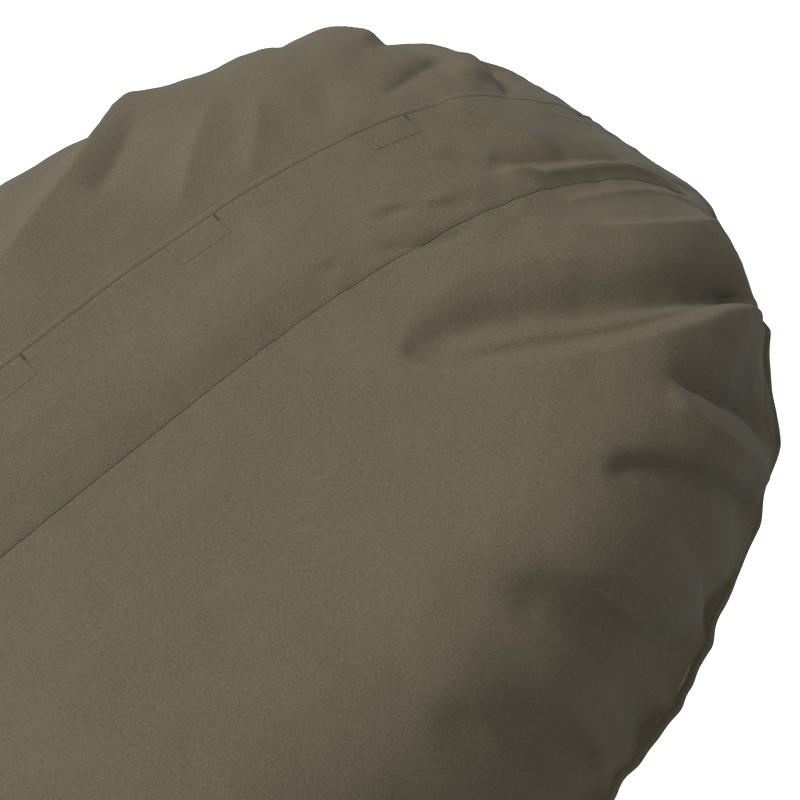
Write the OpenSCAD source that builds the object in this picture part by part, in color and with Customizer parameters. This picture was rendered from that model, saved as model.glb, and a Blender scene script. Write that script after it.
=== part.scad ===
// Bivy sack, lying on its floor panel and filled out as in use.
// +X runs from the foot to the head, +Z is up, Y = 0 is the middle of the sack.
// The origin is under the middle of the sack, on the ground.

/* [Sack] */
// Distance from the middle of the sack to the head end
head_end = 1120; // [930:5:1345]
// Distance from the middle of the sack to the foot end of the cloth
foot_end = 1080; // [900:5:1300]
// Width at the shoulders
sack_w = 860; // [715:5:1035]
// Width at the feet
foot_w = 634; // [520:5:720]
// Height of the crown over the chest
crown_h = 305; // [250:5:370]
// Height of the perimeter seam above the ground
seam_h = 70; // [50:1:90]
// Thickness of the cloth panels
cloth_t = 2; // [1:0.1:3]
// Fall of the crown toward the foot, per unit of length
crown_fall = 0.05; // [0:0.005:0.07]

/* [Shape] */
// Length of the rounded head end, seen from above
head_round = 605; // [480:5:640]
// Length of the rounded foot end, seen from above
foot_round = 260; // [200:5:320]
// Length of the slope that falls from the chest to the head seam
head_slope = 470; // [420:5:480]
// Length of the slope that falls from the shins to the foot seam
foot_slope = 380; // [300:5:420]
// Width of the band where the floor turns up to the seam
floor_turn = 110; // [80:5:130]

/* [Zip] */
// Distance of the zip from the middle of the sack
zip_y = 50; // [35:1:65]
// Distance from the foot end of the cloth to the foot end of the zip
zip_foot_gap = 480; // [400:5:600]
// Distance from the head end of the zip to the head end of the sack
zip_head_gap = 90; // [80:5:110]
// Distance from the straight stretch of the zip to the slope toward the head
straight_gap = 10; // [2:1:40]
// Gap between the two cloth panels along the zip
zip_slot = 16; // [15:0.5:20]
// Width of one zip tape
tape_w = 15.6; // [13:0.2:18]
// Thickness of a zip tape
tape_t = 0.8; // [0.5:0.1:1]
// Radius of one coil of the zip
coil_r = 1.8; // [1.5:0.1:2.2]
// Clear gap between the two coils, where the slider's post runs
coil_gap = 2.4; // [2:0.1:3]
// Length of a slider
slider_l = 15; // [12:0.5:18]
// Thickness of a slider's plates
slider_plate = 1; // [0.8:0.1:1.2]
// Thickness of a slider's post
post_t = 1.6; // [1:0.1:1.8]
// Length of a pull tab, from its pin to its tip
tab_l = 26; // [20:1:32]
// Width of a pull tab
tab_w = 8; // [6:0.5:10]
// Thickness of a pull tab
tab_t = 1.2; // [1:0.1:1.4]
// Radius of the pin that a pull tab turns on
pin_r = 0.6; // [0.5:0.05:0.7]

/* [Storm flap] */
// Distance of the flap's sewn root from the middle of the sack
root_y = 8; // [0:1:12]
// Width of the flap from its root to its free edge
flap_w = 137; // [114:1:165]
// Thickness of the flap
flap_t = 1.5; // [1:0.1:2]
// Distance from the head end of the flap to the head end of the sack
flap_head_gap = 70; // [65:1:75]
// Overhang of the flap past the foot end of the zip
flap_over = 40; // [20:5:60]
// Width of the hem along the free edge
hem_w = 7; // [5:0.5:10]
// Length of a closing patch
patch_l = 50; // [40:1:60]
// Width of a closing patch
patch_w = 25; // [20:1:28]
// Distance from one closing patch to the next
patch_pitch = 197.5; // [160:0.5:230]
// Distance from the head end of the flap to the first closing patch
patch_head_gap = 25.3; // [20:0.1:40]
// Length of a bartack
bartack_l = 8; // [5:0.5:10]

/* [Seams] */
// Width of the seam allowance turned inside at the perimeter
allowance_w = 10; // [8:0.5:14]
// Width of the sealing tape under the flap's root
seal_w = 20; // [16:1:24]

/* [Hang loop] */
// Length of the hang loop past the foot end of the cloth
loop_l = 40; // [34:1:50]
// Width of the loop's webbing
loop_w = 16; // [12:1:20]
// Clear height inside the loop
loop_gap = 9; // [7:0.5:12]
// Thickness of the loop's webbing
loop_t = 1.6; // [1.2:0.1:2]

/* [Hidden] */

cloth_colour = "#625D4E";
trim_colour = "#4B483C";
metal_colour = "#3C3B36";
half_w = sack_w / 2;
taper = 1 - foot_w / sack_w;
mid_x = (head_end - foot_end) / 2;
half_l = (head_end + foot_end) / 2;
tip_cut = 0.5;                       // keeps the two tips from closing to a point
head_x0 = head_end - head_round;     // where the head end starts to round
foot_x0 = -foot_end + foot_round;    // where the foot end starts to round
slope_x0 = head_end - head_slope;    // where the crown starts to fall to the head
shin_x0 = -foot_end + foot_slope;    // where the crown starts to fall to the foot
seam_gap = 1.5;                      // from the seam's middle to each panel's rim
crown_flat = 0.12;                   // share of the half width that stays level
crown_pow = 5;                       // how squarely the crown turns down at the sides
slope_pow = 3;                       // how late the crown turns down at the ends
crown_angle = atan(crown_fall);
zip_foot_x = -foot_end + zip_foot_gap;
zip_head_x = head_end - zip_head_gap;
straight_x = slope_x0 - straight_gap;
flap_head_x = head_end - flap_head_gap;
patch_head_x = flap_head_x - patch_head_gap;
bend_span = head_end - straight_x;   // past the straight stretch the zip swings aside
bend_aside = 0.1337 * sack_w;
air = 0.3;                           // clearance between pieces that face each other
tape_inner = coil_gap / 2 + 0.2;     // from the zip's middle to a tape's edge
stop_l = 4;
stop_in = 3;                         // from the end of the zip to a stop
coil_in = stop_in + stop_l + 1;      // from the end of the zip to the end of a coil
tape_z = -cloth_t - 0.4;             // top of the zip tapes, under the panels
coil_y = coil_gap / 2 + coil_r;
coil_z = tape_z + 0.05 + coil_r;
flange_t = 1.2;
flange_gap = 0.4;
plate_w = 2 * (coil_y + coil_r + flange_gap + flange_t);
top_plate_z = coil_z + coil_r + 0.35;
low_plate_z = tape_z - tape_t - 0.5;
eye_r = 1.1;
eye_w = 4;
pin_rise = eye_r + 0.2;              // from a plate to the pin's axis
pin_gap = 0.05;
lug_t = 1.2;
lug_r = 0.9;
flap_clear = top_plate_z + slider_plate + pin_rise + eye_r + 0.4;
flap_low = 2.8;                      // height of the flap's underside over the patches
flap_foot_x = zip_foot_x - flap_over;
patch_inner = flap_w - hem_w - patch_w;
slider_u0 = zip_y - root_y - 8;      // the flap stands clear of the sliders from here
slider_u1 = patch_inner - 5;         // and lies low again from here to its free edge
flap_profile = [
    [4, 0.9], [slider_u0, flap_clear], [slider_u1 - 16, flap_clear],
    [slider_u1, flap_low], [flap_w, flap_low]
];
hook_t = 0.8;
hook_z = 0.2;
bartack_w = 1.6;
bartack_t = 0.5;
slider_margin = 10 + slider_l / 2;
head_slider_x = straight_x - slider_margin;
foot_slider_x = zip_foot_x + slider_margin;
side_steps = 10;                     // rows of facets across one top panel
floor_steps = 14;                    // rows of facets across the floor
coil_sides = 8;

// ---- Shape of the filled sack ----

function clamp(v, low, high) = max(low, min(high, v));

// Half the plan width at x, for cloth that lies inset inside the outside face
function half_width(x, inset = 0) =
    let (
        head_t = (x - head_x0) / (head_round + tip_cut - inset),
        foot_t = (foot_x0 - x) / (foot_round + tip_cut - inset),
        width = half_w - inset,
        share = taper * max(0, head_x0 - x) / (head_x0 + foot_end)
    )
    x > head_x0 ? width * sqrt(max(0, 1 - head_t * head_t))
    : width * (1 - share) * (x < foot_x0 ? sqrt(max(0, 1 - foot_t * foot_t)) : 1);

// Height of the straight crown line, which both ends fall away from
function crown_line(x) = crown_h - crown_fall * max(0, slope_x0 - x);

// Height of the crown at x
function crown(x) =
    let (
        head_t = clamp((x - slope_x0) / (head_slope + tip_cut), 0, 1),
        foot_t = clamp((shin_x0 - x) / (foot_slope + tip_cut), 0, 1)
    )
    seam_h + (crown_line(x) - seam_h) * (1 - pow(head_t, slope_pow)) * (1 - pow(foot_t, slope_pow));

// Height of the top face at (x, y)
function top_z(x, y, inset = 0) =
    let (
        base = seam_h + seam_gap,
        side = abs(y) / max(1, half_width(x, inset)),
        turn = clamp((side - crown_flat) / (1 - crown_flat), 0, 1)
    )
    base + max(0, crown(x) - inset - base) * (1 - pow(turn, crown_pow));

// Height of the floor's underside at (x, y), from its distance to the outline
function floor_z(x, y, inset = 0) =
    let (
        step = 0.5,
        rise = (half_width(x + step, inset) - half_width(x - step, inset)) / (2 * step),
        far = (half_width(x, inset) - abs(y)) / sqrt(1 + rise * rise),
        turn = clamp(1 - far / floor_turn, 0, 1)
    )
    inset + (seam_h - seam_gap - inset) * turn * turn;

// Sideways place of a line that runs at y0 along the crown, such as the zip
function along_y(x, y0) = y0 - bend_aside * pow(max(0, x - straight_x) / bend_span, 2);

// Stations along the sack, closer together at both tips
function spread(from, to, steps) =
    [for (i = [1:steps]) from + (to - from) * sin(90 * i / steps)];
function backward(list) = [for (i = [len(list) - 1:-1:0]) list[i]];
function evenly(from, to, steps) = [for (i = [0:steps]) from + (to - from) * i / steps];
body_x = concat(
    backward(spread(foot_x0, -foot_end, 8)),
    evenly(foot_x0, zip_foot_x - 6, 2),
    evenly(zip_foot_x, straight_x, 9),
    evenly(slope_x0, zip_head_x, 14),
    [zip_head_x + 6],
    spread(zip_head_x + 6, head_end, 6)
);

// The stations of the body between two ends, with the ends themselves, so that what
// lies on a panel is faceted as the panel is
function stations(from, to) =
    concat([from], [for (x = body_x) if (x > from + 1 && x < to - 1) x], [to]);

// Sideways place of the line where the two top panels face each other
function join_y(x) =
    let (limit = half_width(x) / 2)
    clamp(along_y(x, zip_y), -limit, limit);

// Half the gap between the two top panels: the zip's slot, then a closed seam
function join_gap(x) =
    x >= zip_foot_x && x <= zip_head_x ? zip_slot / 2 : air / 2;

function flat_list(list) = [for (row = list) for (point = row) point];

// ---- Solids made from rows of points ----

// A closed slab between two grids of points, the upper one given first
module slab(upper, lower) {
    n = len(upper);
    m = len(upper[0]);
    low = n * m;
    polyhedron(
        points = concat(flat_list(upper), flat_list(lower)),
        faces = concat(
            [for (i = [0:n - 2], j = [0:m - 2]) [i * m + j, i * m + j + 1, (i + 1) * m + j + 1]],
            [for (i = [0:n - 2], j = [0:m - 2]) [i * m + j, (i + 1) * m + j + 1, (i + 1) * m + j]],
            [for (i = [0:n - 2], j = [0:m - 2])
                [low + i * m + j, low + (i + 1) * m + j + 1, low + i * m + j + 1]],
            [for (i = [0:n - 2], j = [0:m - 2])
                [low + i * m + j, low + (i + 1) * m + j, low + (i + 1) * m + j + 1]],
            flat_list([for (j = [0:m - 2]) wall(j + 1, j, low)]),
            flat_list([for (j = [0:m - 2]) wall((n - 1) * m + j, (n - 1) * m + j + 1, low)]),
            flat_list([for (i = [0:n - 2]) wall(i * m, (i + 1) * m, low)]),
            flat_list([for (i = [0:n - 2]) wall((i + 2) * m - 1, (i + 1) * m - 1, low)])
        )
    );
}

// Two triangles that join the edge a-b of the upper grid to the lower grid
function wall(a, b, low) = [[a, b, low + b], [a, low + b, low + a]];

// A closed tube through rings of points; it runs back into itself where loop is true
module tube(rings, loop = false) {
    n = len(rings);
    m = len(rings[0]);
    turns = loop ? n : n - 1;
    function at(i, k) = (i % n) * m + k % m;
    polyhedron(
        points = flat_list(rings),
        faces = concat(
            [for (i = [0:turns - 1], k = [0:m - 1]) [at(i, k), at(i + 1, k), at(i + 1, k + 1)]],
            [for (i = [0:turns - 1], k = [0:m - 1]) [at(i, k), at(i + 1, k + 1), at(i, k + 1)]],
            loop ? [] : [[for (k = [0:m - 1]) k], [for (k = [m - 1:-1:0]) (n - 1) * m + k]]
        )
    );
}

// A strip that follows the top face between two lines, from low to high above it
module strip(xs, near_y, far_y, low, high, steps = 1) {
    function row(x, rise) = [for (k = [0:steps])
        let (y = along_y(x, near_y + (far_y - near_y) * k / steps))
        [x, y, top_z(x, y) + rise]];
    slab([for (x = xs) row(x, high)], [for (x = xs) row(x, low)]);
}

// A band that runs all the way round inside the perimeter
module seam_ring(out, in, low, high) {
    function ring(x, side) =
        let (
            step = 0.5,
            rise = (half_width(x + step) - half_width(x - step)) / (2 * step),
            long = sqrt(1 + rise * rise),
            edge = [x, side * half_width(x)],
            inward = [rise, -side] / long
        )
        [for (p = [[in, low], [in, high], [out, high], [out, low]])
            [edge[0] + inward[0] * p[0], edge[1] + inward[1] * p[0], seam_h + p[1]]];
    tube(concat([for (x = body_x) ring(x, -1)], [for (x = backward(body_x)) ring(x, 1)]), true);
}

// Puts children on the straight crown line at x, with their X along the zip
module on_crown(x) {
    translate([x, 0, crown_line(x)]) rotate([0, -crown_angle, 0]) children();
}

// ---- Cloth panels ----

module top_panel(side) {
    function across(x, inset) =
        let (
            px = mid_x + (x - mid_x) * (1 - inset / half_l),
            rim = side * half_width(px, inset),
            join = join_y(x) + side * join_gap(x)
        )
        [for (k = [0:side_steps])
            let (y = rim + (join - rim) * (1 - cos(90 * k / side_steps)) * 0.6
                + (join - rim) * 0.4 * k / side_steps)
            [px, y, top_z(px, y, inset)]];
    xs = side < 0 ? body_x : backward(body_x);
    slab([for (x = xs) across(x, 0)], [for (x = xs) across(x, cloth_t)]);
}

module near_top_panel() {
    color(cloth_colour) top_panel(-1);
}

module far_top_panel() {
    color(cloth_colour) top_panel(1);
}

module floor_panel() {
    function across(x, inset) =
        let (px = mid_x + (x - mid_x) * (1 - inset / half_l))
        [for (k = [0:floor_steps])
            let (y = half_width(px, inset) * sin(180 * k / floor_steps - 90))
            [px, y, floor_z(px, y, inset)]];
    color(cloth_colour)
        slab([for (x = body_x) across(x, cloth_t)], [for (x = body_x) across(x, 0)]);
}

// ---- Seams ----

module perimeter_seam() {
    color(cloth_colour) seam_ring(0, allowance_w, -0.8, 0.8);
}

module seam_binding() {
    color(trim_colour) seam_ring(allowance_w + air, allowance_w + air + 1, -2, 2);
}

module root_seal_tape() {
    xs = stations(flap_foot_x, flap_head_x);
    color(trim_colour)
        strip(xs, root_y - seal_w / 2, root_y + seal_w / 2, -cloth_t - air - 0.4, -cloth_t - air);
}

// ---- Zip ----

module zip_tape(side) {
    near = zip_y + side * tape_inner;
    far = zip_y + side * (tape_inner + tape_w);
    strip(stations(zip_foot_x, zip_head_x), min(near, far), max(near, far), tape_z - tape_t, tape_z);
}

module zip_coil(side) {
    xs = stations(zip_foot_x + coil_in, zip_head_x - coil_in);
    tube([for (x = xs)
        let (
            y = along_y(x, zip_y + side * coil_y),
            z = top_z(x, y) + coil_z
        )
        [for (k = [0:coil_sides - 1])
            let (turn = 360 * (k + 0.5) / coil_sides)
            [x, y + coil_r * cos(turn), z + coil_r * sin(turn)]]
    ]);
}

module zip_stop(x) {
    strip([x, x + stop_l], zip_y - coil_y - coil_r, zip_y + coil_y + coil_r,
        tape_z + 0.05, coil_z + coil_r);
}

module near_zip_tape() {
    color(trim_colour) zip_tape(-1);
}

module far_zip_tape() {
    color(trim_colour) zip_tape(1);
}

module near_zip_coil() {
    color(trim_colour) zip_coil(-1);
}

module far_zip_coil() {
    color(trim_colour) zip_coil(1);
}

module zip_head_stop() {
    color(metal_colour) zip_stop(zip_head_x - stop_in - stop_l);
}

module zip_foot_stop() {
    color(metal_colour) zip_stop(zip_foot_x + stop_in);
}

// A lug pair and its pin, standing on a face at height 0
module pin_lugs() {
    for (side = [-1, 1]) {
        translate([-lug_r, side * (eye_w / 2 + 0.2 + lug_t / 2) - lug_t / 2, -0.2])
            cube([2 * lug_r, lug_t, pin_rise + 0.2]);
        translate([0, side * (eye_w / 2 + 0.2 + lug_t / 2) - lug_t / 2, pin_rise])
            rotate([-90, 0, 0]) cylinder(r = lug_r, h = lug_t, $fn = 32);
    }
    translate([0, -eye_w / 2 - 0.2 - lug_t / 2, pin_rise])
        rotate([-90, 0, 0]) cylinder(r = pin_r, h = eye_w + 0.4 + lug_t, $fn = 32);
}

// A slider at its own middle, with Z = 0 at the top face of the cloth
module slider() {
    translate([-slider_l / 2, -plate_w / 2, top_plate_z]) cube([slider_l, plate_w, slider_plate]);
    translate([-slider_l / 2, -plate_w / 2, low_plate_z - slider_plate])
        cube([slider_l, plate_w, slider_plate]);
    for (side = [-1, 1])
        translate([-slider_l / 2, side * (plate_w - flange_t) / 2 - flange_t / 2, tape_z + 0.5])
            cube([slider_l, flange_t, top_plate_z - tape_z - 0.4]);
    translate([-slider_l / 4, -post_t / 2, low_plate_z - slider_plate / 2])
        cube([slider_l / 2, post_t, top_plate_z - low_plate_z + slider_plate]);
    translate([0, 0, top_plate_z + slider_plate]) pin_lugs();
    translate([0, 0, low_plate_z - slider_plate]) mirror([0, 0, 1]) pin_lugs();
}

// A pull tab along +X, with its pin's axis on Y through the origin
module pull_tab() {
    difference() {
        union() {
            translate([0, eye_w / 2, 0]) rotate([90, 0, 0]) cylinder(r = eye_r, h = eye_w, $fn = 32);
            translate([0, -eye_w / 2, -tab_t / 2]) cube([4, eye_w, tab_t]);
            translate([2.5, -tab_w / 2, -tab_t / 2]) cube([tab_l - tab_w / 2 - 2.5, tab_w, tab_t]);
            translate([tab_l - tab_w / 2, 0, -tab_t / 2]) cylinder(r = tab_w / 2, h = tab_t, $fn = 32);
        }
        translate([0, eye_w / 2 + 1, 0])
            rotate([90, 0, 0]) cylinder(r = pin_r + pin_gap, h = eye_w + 2, $fn = 32);
        translate([tab_l - tab_w / 2, 0, -tab_t]) cylinder(r = tab_w / 4, h = 2 * tab_t, $fn = 32);
    }
}

module slider_on_zip(x) {
    color(metal_colour) on_crown(x) translate([0, zip_y, 0]) slider();
}

module outer_tab(x, turn) {
    color(metal_colour)
        on_crown(x) translate([0, zip_y, top_plate_z + slider_plate + pin_rise])
            rotate([0, 0, turn]) pull_tab();
}

// The inner tab hangs straight down inside the sack
module inner_tab(x) {
    color(metal_colour)
        on_crown(x) translate([0, zip_y, low_plate_z - slider_plate - pin_rise])
            rotate([0, 90 + crown_angle, 0]) pull_tab();
}

module head_slider() {
    slider_on_zip(head_slider_x);
}

module head_outer_tab() {
    outer_tab(head_slider_x, 180);
}

module head_inner_tab() {
    inner_tab(head_slider_x);
}

module foot_slider() {
    slider_on_zip(foot_slider_x);
}

module foot_outer_tab() {
    outer_tab(foot_slider_x, 0);
}

module foot_inner_tab() {
    inner_tab(foot_slider_x);
}

// ---- Storm flap ----

// Head ends of the closing patches between two stations
function patch_ends(from, to) =
    [for (i = [0:40]) let (x = patch_head_x - i * patch_pitch) if (x - patch_l >= from && x <= to) x];
flap_patches = patch_ends(flap_foot_x, straight_x);
head_patches = patch_ends(straight_x, flap_head_x);
head_x = stations(straight_x + 1, flap_head_x);

module storm_flap() {
    long = (straight_x - flap_foot_x) / cos(crown_angle);
    upper = [for (p = backward(flap_profile)) [p[0], p[1] + flap_t]];
    color(cloth_colour)
        on_crown(flap_foot_x) translate([0, root_y, 0])
            rotate([90, 0, 90]) linear_extrude(long) polygon(concat(flap_profile, upper));
}

// A flat strip fixed to the straight flap, from u0 to u1 across it
module flap_strip(x0, x1, u0, u1, low, high) {
    on_crown(x0) translate([0, root_y + u0, low])
        cube([(x1 - x0) / cos(crown_angle), u1 - u0, high - low]);
}

module flap_hem() {
    color(cloth_colour)
        flap_strip(flap_foot_x, straight_x, flap_w - hem_w + air, flap_w, flap_low - 1.2, flap_low);
}

module flap_loop_patches() {
    color(trim_colour)
        for (x = flap_patches)
            flap_strip(x - patch_l, x, patch_inner, patch_inner + patch_w,
                hook_z + hook_t + air, flap_low);
}

module flap_bartacks() {
    edge = flap_w - hem_w;
    color(trim_colour)
        for (x = flap_patches)
            flap_strip(x - bartack_w, x, edge - bartack_l, edge,
                flap_low + flap_t, flap_low + flap_t + bartack_t);
}

module panel_hook_patches() {
    color(trim_colour)
        for (x = flap_patches)
            strip([x - patch_l, x], root_y + patch_inner, root_y + patch_inner + patch_w,
                hook_z, hook_z + hook_t);
}

module flap_head_end() {
    function row(x, rise) = [for (p = flap_profile)
        let (y = along_y(x, root_y + p[0]))
        [x, y, top_z(x, y) + p[1] + rise]];
    color(cloth_colour)
        slab([for (x = head_x) row(x, flap_t)], [for (x = head_x) row(x, 0)]);
}

// Patches and trim of the head end of the flap follow the falling crown
module head_strips(lengths, u0, u1, low, high) {
    for (span = lengths)
        strip(stations(span[0], span[1]), root_y + u0, root_y + u1, low, high);
}

module flap_head_hem() {
    color(cloth_colour)
        strip(head_x, root_y + flap_w - hem_w + air, root_y + flap_w,
            flap_low - 1.2, flap_low - 2 * air);
}

module head_hook_patches() {
    color(trim_colour)
        head_strips([for (x = head_patches) [x - patch_l, x]],
            patch_inner, patch_inner + patch_w, hook_z, hook_z + hook_t);
}

module head_loop_patches() {
    color(trim_colour)
        head_strips([for (x = head_patches) [x - patch_l, x]],
            patch_inner, patch_inner + patch_w, hook_z + hook_t + air, flap_low - 2 * air);
}

module head_bartacks() {
    edge = flap_w - hem_w;
    color(trim_colour)
        head_strips([for (x = head_patches) [x - bartack_w, x]],
            edge - bartack_l, edge, flap_low + flap_t + 0.1, flap_low + flap_t + 0.1 + bartack_t);
}

// ---- Hang loop ----

// Side outline of the webbing loop, from its sewn root at the origin toward -X
module loop_outline(wall) {
    round_r = loop_gap / 2 + loop_t - wall;
    hull() {
        translate([-loop_l + loop_gap / 2 + loop_t, 0]) circle(r = round_r, $fn = 32);
        translate([-wall * 3 - 2, -loop_t / 2 + wall * 0.3])
            square([2, loop_t - wall * 0.6]);
    }
}

module foot_hang_loop() {
    color(trim_colour)
        translate([-foot_end, loop_w / 2, seam_h]) rotate([90, 0, 0]) linear_extrude(loop_w)
            difference() {
                loop_outline(0);
                loop_outline(loop_t);
            }
}

floor_panel();
near_top_panel();
far_top_panel();
perimeter_seam();
seam_binding();
near_zip_tape();
far_zip_tape();
near_zip_coil();
far_zip_coil();
zip_head_stop();
zip_foot_stop();
root_seal_tape();
panel_hook_patches();
flap_head_end();
flap_head_hem();
head_hook_patches();
head_loop_patches();
head_bartacks();
foot_hang_loop();
storm_flap();
flap_hem();
flap_loop_patches();
flap_bartacks();
head_slider();
head_outer_tab();
head_inner_tab();
foot_slider();
foot_outer_tab();
foot_inner_tab();
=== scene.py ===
"""Bivy sack: cloth, seams, storm flap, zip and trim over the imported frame.

Lengths are in metres in the frame's own axes: +X toward the head end, +Z up,
+Y toward the free edge of the storm flap.
"""

import logging
import math
from dataclasses import dataclass, field
from enum import Enum
from typing import Iterable, Sequence

import bmesh
import bpy
import numpy as np
from mathutils import Matrix, Vector

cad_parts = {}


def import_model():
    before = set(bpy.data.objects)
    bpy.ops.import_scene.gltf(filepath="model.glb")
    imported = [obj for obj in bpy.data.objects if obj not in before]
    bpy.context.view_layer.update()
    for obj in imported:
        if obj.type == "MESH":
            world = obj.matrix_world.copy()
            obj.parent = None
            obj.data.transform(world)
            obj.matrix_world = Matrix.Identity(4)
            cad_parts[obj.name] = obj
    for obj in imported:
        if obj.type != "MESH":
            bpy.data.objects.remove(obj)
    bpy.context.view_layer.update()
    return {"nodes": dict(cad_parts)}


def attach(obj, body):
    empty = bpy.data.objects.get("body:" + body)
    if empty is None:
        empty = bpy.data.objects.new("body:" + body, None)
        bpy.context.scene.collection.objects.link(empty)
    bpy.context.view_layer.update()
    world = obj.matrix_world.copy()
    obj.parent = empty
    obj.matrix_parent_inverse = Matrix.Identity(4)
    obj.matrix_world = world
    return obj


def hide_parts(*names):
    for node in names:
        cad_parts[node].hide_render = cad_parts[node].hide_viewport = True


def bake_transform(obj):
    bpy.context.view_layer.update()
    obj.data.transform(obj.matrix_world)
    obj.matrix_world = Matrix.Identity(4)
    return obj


LOG = logging.getLogger("bivy_sack")
Array = np.ndarray
Line = tuple[tuple[float, float], ...]


# ---- Small numeric helpers ----


def smoothstep(low: float, high: float, value: Array) -> Array:
    """Returns 0 below low, 1 above high and a smooth step in between."""
    t = np.clip((value - low) / (high - low), 0.0, 1.0)
    return t * t * (3.0 - 2.0 * t)


def cloth_noise(points: Array, scale: float, seed: int) -> Array:
    """Smooth gradient noise, about -1 to 1.

    Args:
        points: N by 3 places in metres.
        scale: Distance over which the noise changes, in metres.
        seed: Whole number that picks one pattern.

    Returns:
        One value for each point.
    """
    cell = points / scale + 17.3 * seed
    base = np.floor(cell).astype(np.int64)
    frac = cell - base
    fade = frac * frac * frac * (frac * (frac * 6.0 - 15.0) + 10.0)
    total = np.zeros(len(points))
    for corner in range(8):
        step = np.array([corner & 1, corner >> 1 & 1, corner >> 2 & 1])
        at = base + step
        mixed = (at[:, 0] * 73856093) ^ (at[:, 1] * 19349663) ^ (at[:, 2] * 83492791)
        mixed = (mixed ^ (mixed >> 13)) * 1274126177 & 0x7FFFFFFF
        turn = mixed % 4096 / 4096.0 * math.tau
        lift = (mixed >> 12) % 2048 / 1024.0 - 1.0
        flat = np.sqrt(1.0 - lift * lift)
        grad = np.stack([np.cos(turn) * flat, np.sin(turn) * flat, lift], axis=1)
        dot = np.sum(grad * (frac - step), axis=1)
        weight = np.prod(np.where(step == 1, fade, 1.0 - fade), axis=1)
        total += dot * weight
    return total * 1.6


def spline(points: Sequence[Sequence[float]], count: int) -> Array:
    """Samples a smooth curve through points.

    Args:
        points: The places that the curve passes through.
        count: How many samples to return.

    Returns:
        A count by N array of places, evenly spread by parameter.
    """
    pts = np.array(points, float)
    ext = np.vstack([2 * pts[0] - pts[1], pts, 2 * pts[-1] - pts[-2]])
    t = np.linspace(0.0, len(pts) - 1 - 1e-9, count)
    i = t.astype(int)
    f = (t - i)[:, None]
    p0, p1, p2, p3 = ext[i], ext[i + 1], ext[i + 2], ext[i + 3]
    return 0.5 * (
        2 * p1
        + (p2 - p0) * f
        + (2 * p0 - 5 * p1 + 4 * p2 - p3) * f**2
        + (3 * p1 - p0 - 3 * p2 + p3) * f**3
    )


# ---- The shape of the filled sack ----


class FoldKind(Enum):
    """How a fold's section looks."""

    SOFT = 2.0
    CREASE = 1.25


@dataclass(frozen=True)
class Fold:
    """One fold in the cloth, along a path seen from above.

    The section is lowest, or highest where depth is negative, on the path. It
    widens from start to end, and each side has its own width.
    """

    path: Line
    depth: tuple[float, float]
    left: tuple[float, float]
    right: tuple[float, float]
    kind: FoldKind = FoldKind.SOFT
    fade_in: float = 0.25
    fade_out: float = 0.0

    def section(self, place: Array, normal: Array, track: Array) -> Array:
        """Depth of the fold at places near it.

        Args:
            place: N by 3 places on the unfolded surface.
            normal: N by 3 unit normals there.
            track: The fold's own path on that surface.

        Returns:
            One depth for each place.
        """
        best = np.full(len(place), np.inf)
        share = np.zeros(len(place))
        left_side = np.zeros(len(place), bool)
        legs = len(track) - 1
        for k in range(legs):
            start, way = track[k], track[k + 1] - track[k]
            t = np.clip((place - start) @ way / (way @ way), 0.0, 1.0)
            offset = place - start - t[:, None] * way
            far = np.einsum("ij,ij->i", offset, offset)
            closer = far < best
            best = np.where(closer, far, best)
            share = np.where(closer, (k + t) / legs, share)
            beside = np.einsum("ij,ij->i", np.cross(way, offset), normal) > 0.0
            left_side = np.where(closer, beside, left_side)
        away = np.sqrt(best)
        width = np.where(
            left_side,
            self.left[0] + (self.left[1] - self.left[0]) * share,
            self.right[0] + (self.right[1] - self.right[0]) * share,
        )
        depth = self.depth[0] + (self.depth[1] - self.depth[0]) * share
        if self.fade_in > 0.0:
            depth = depth * smoothstep(-0.02, self.fade_in, share)
        if self.fade_out > 0.0:
            depth = depth * (1.0 - smoothstep(1.0 - self.fade_out, 1.02, share))
        return depth * np.exp(-((away / width) ** self.kind.value))


@dataclass(frozen=True)
class SeamCorner:
    """A place where the seam stands out in a corner, or is drawn in."""

    at: tuple[float, float]
    out: float
    reach: float
    point: float = 1.2


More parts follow.
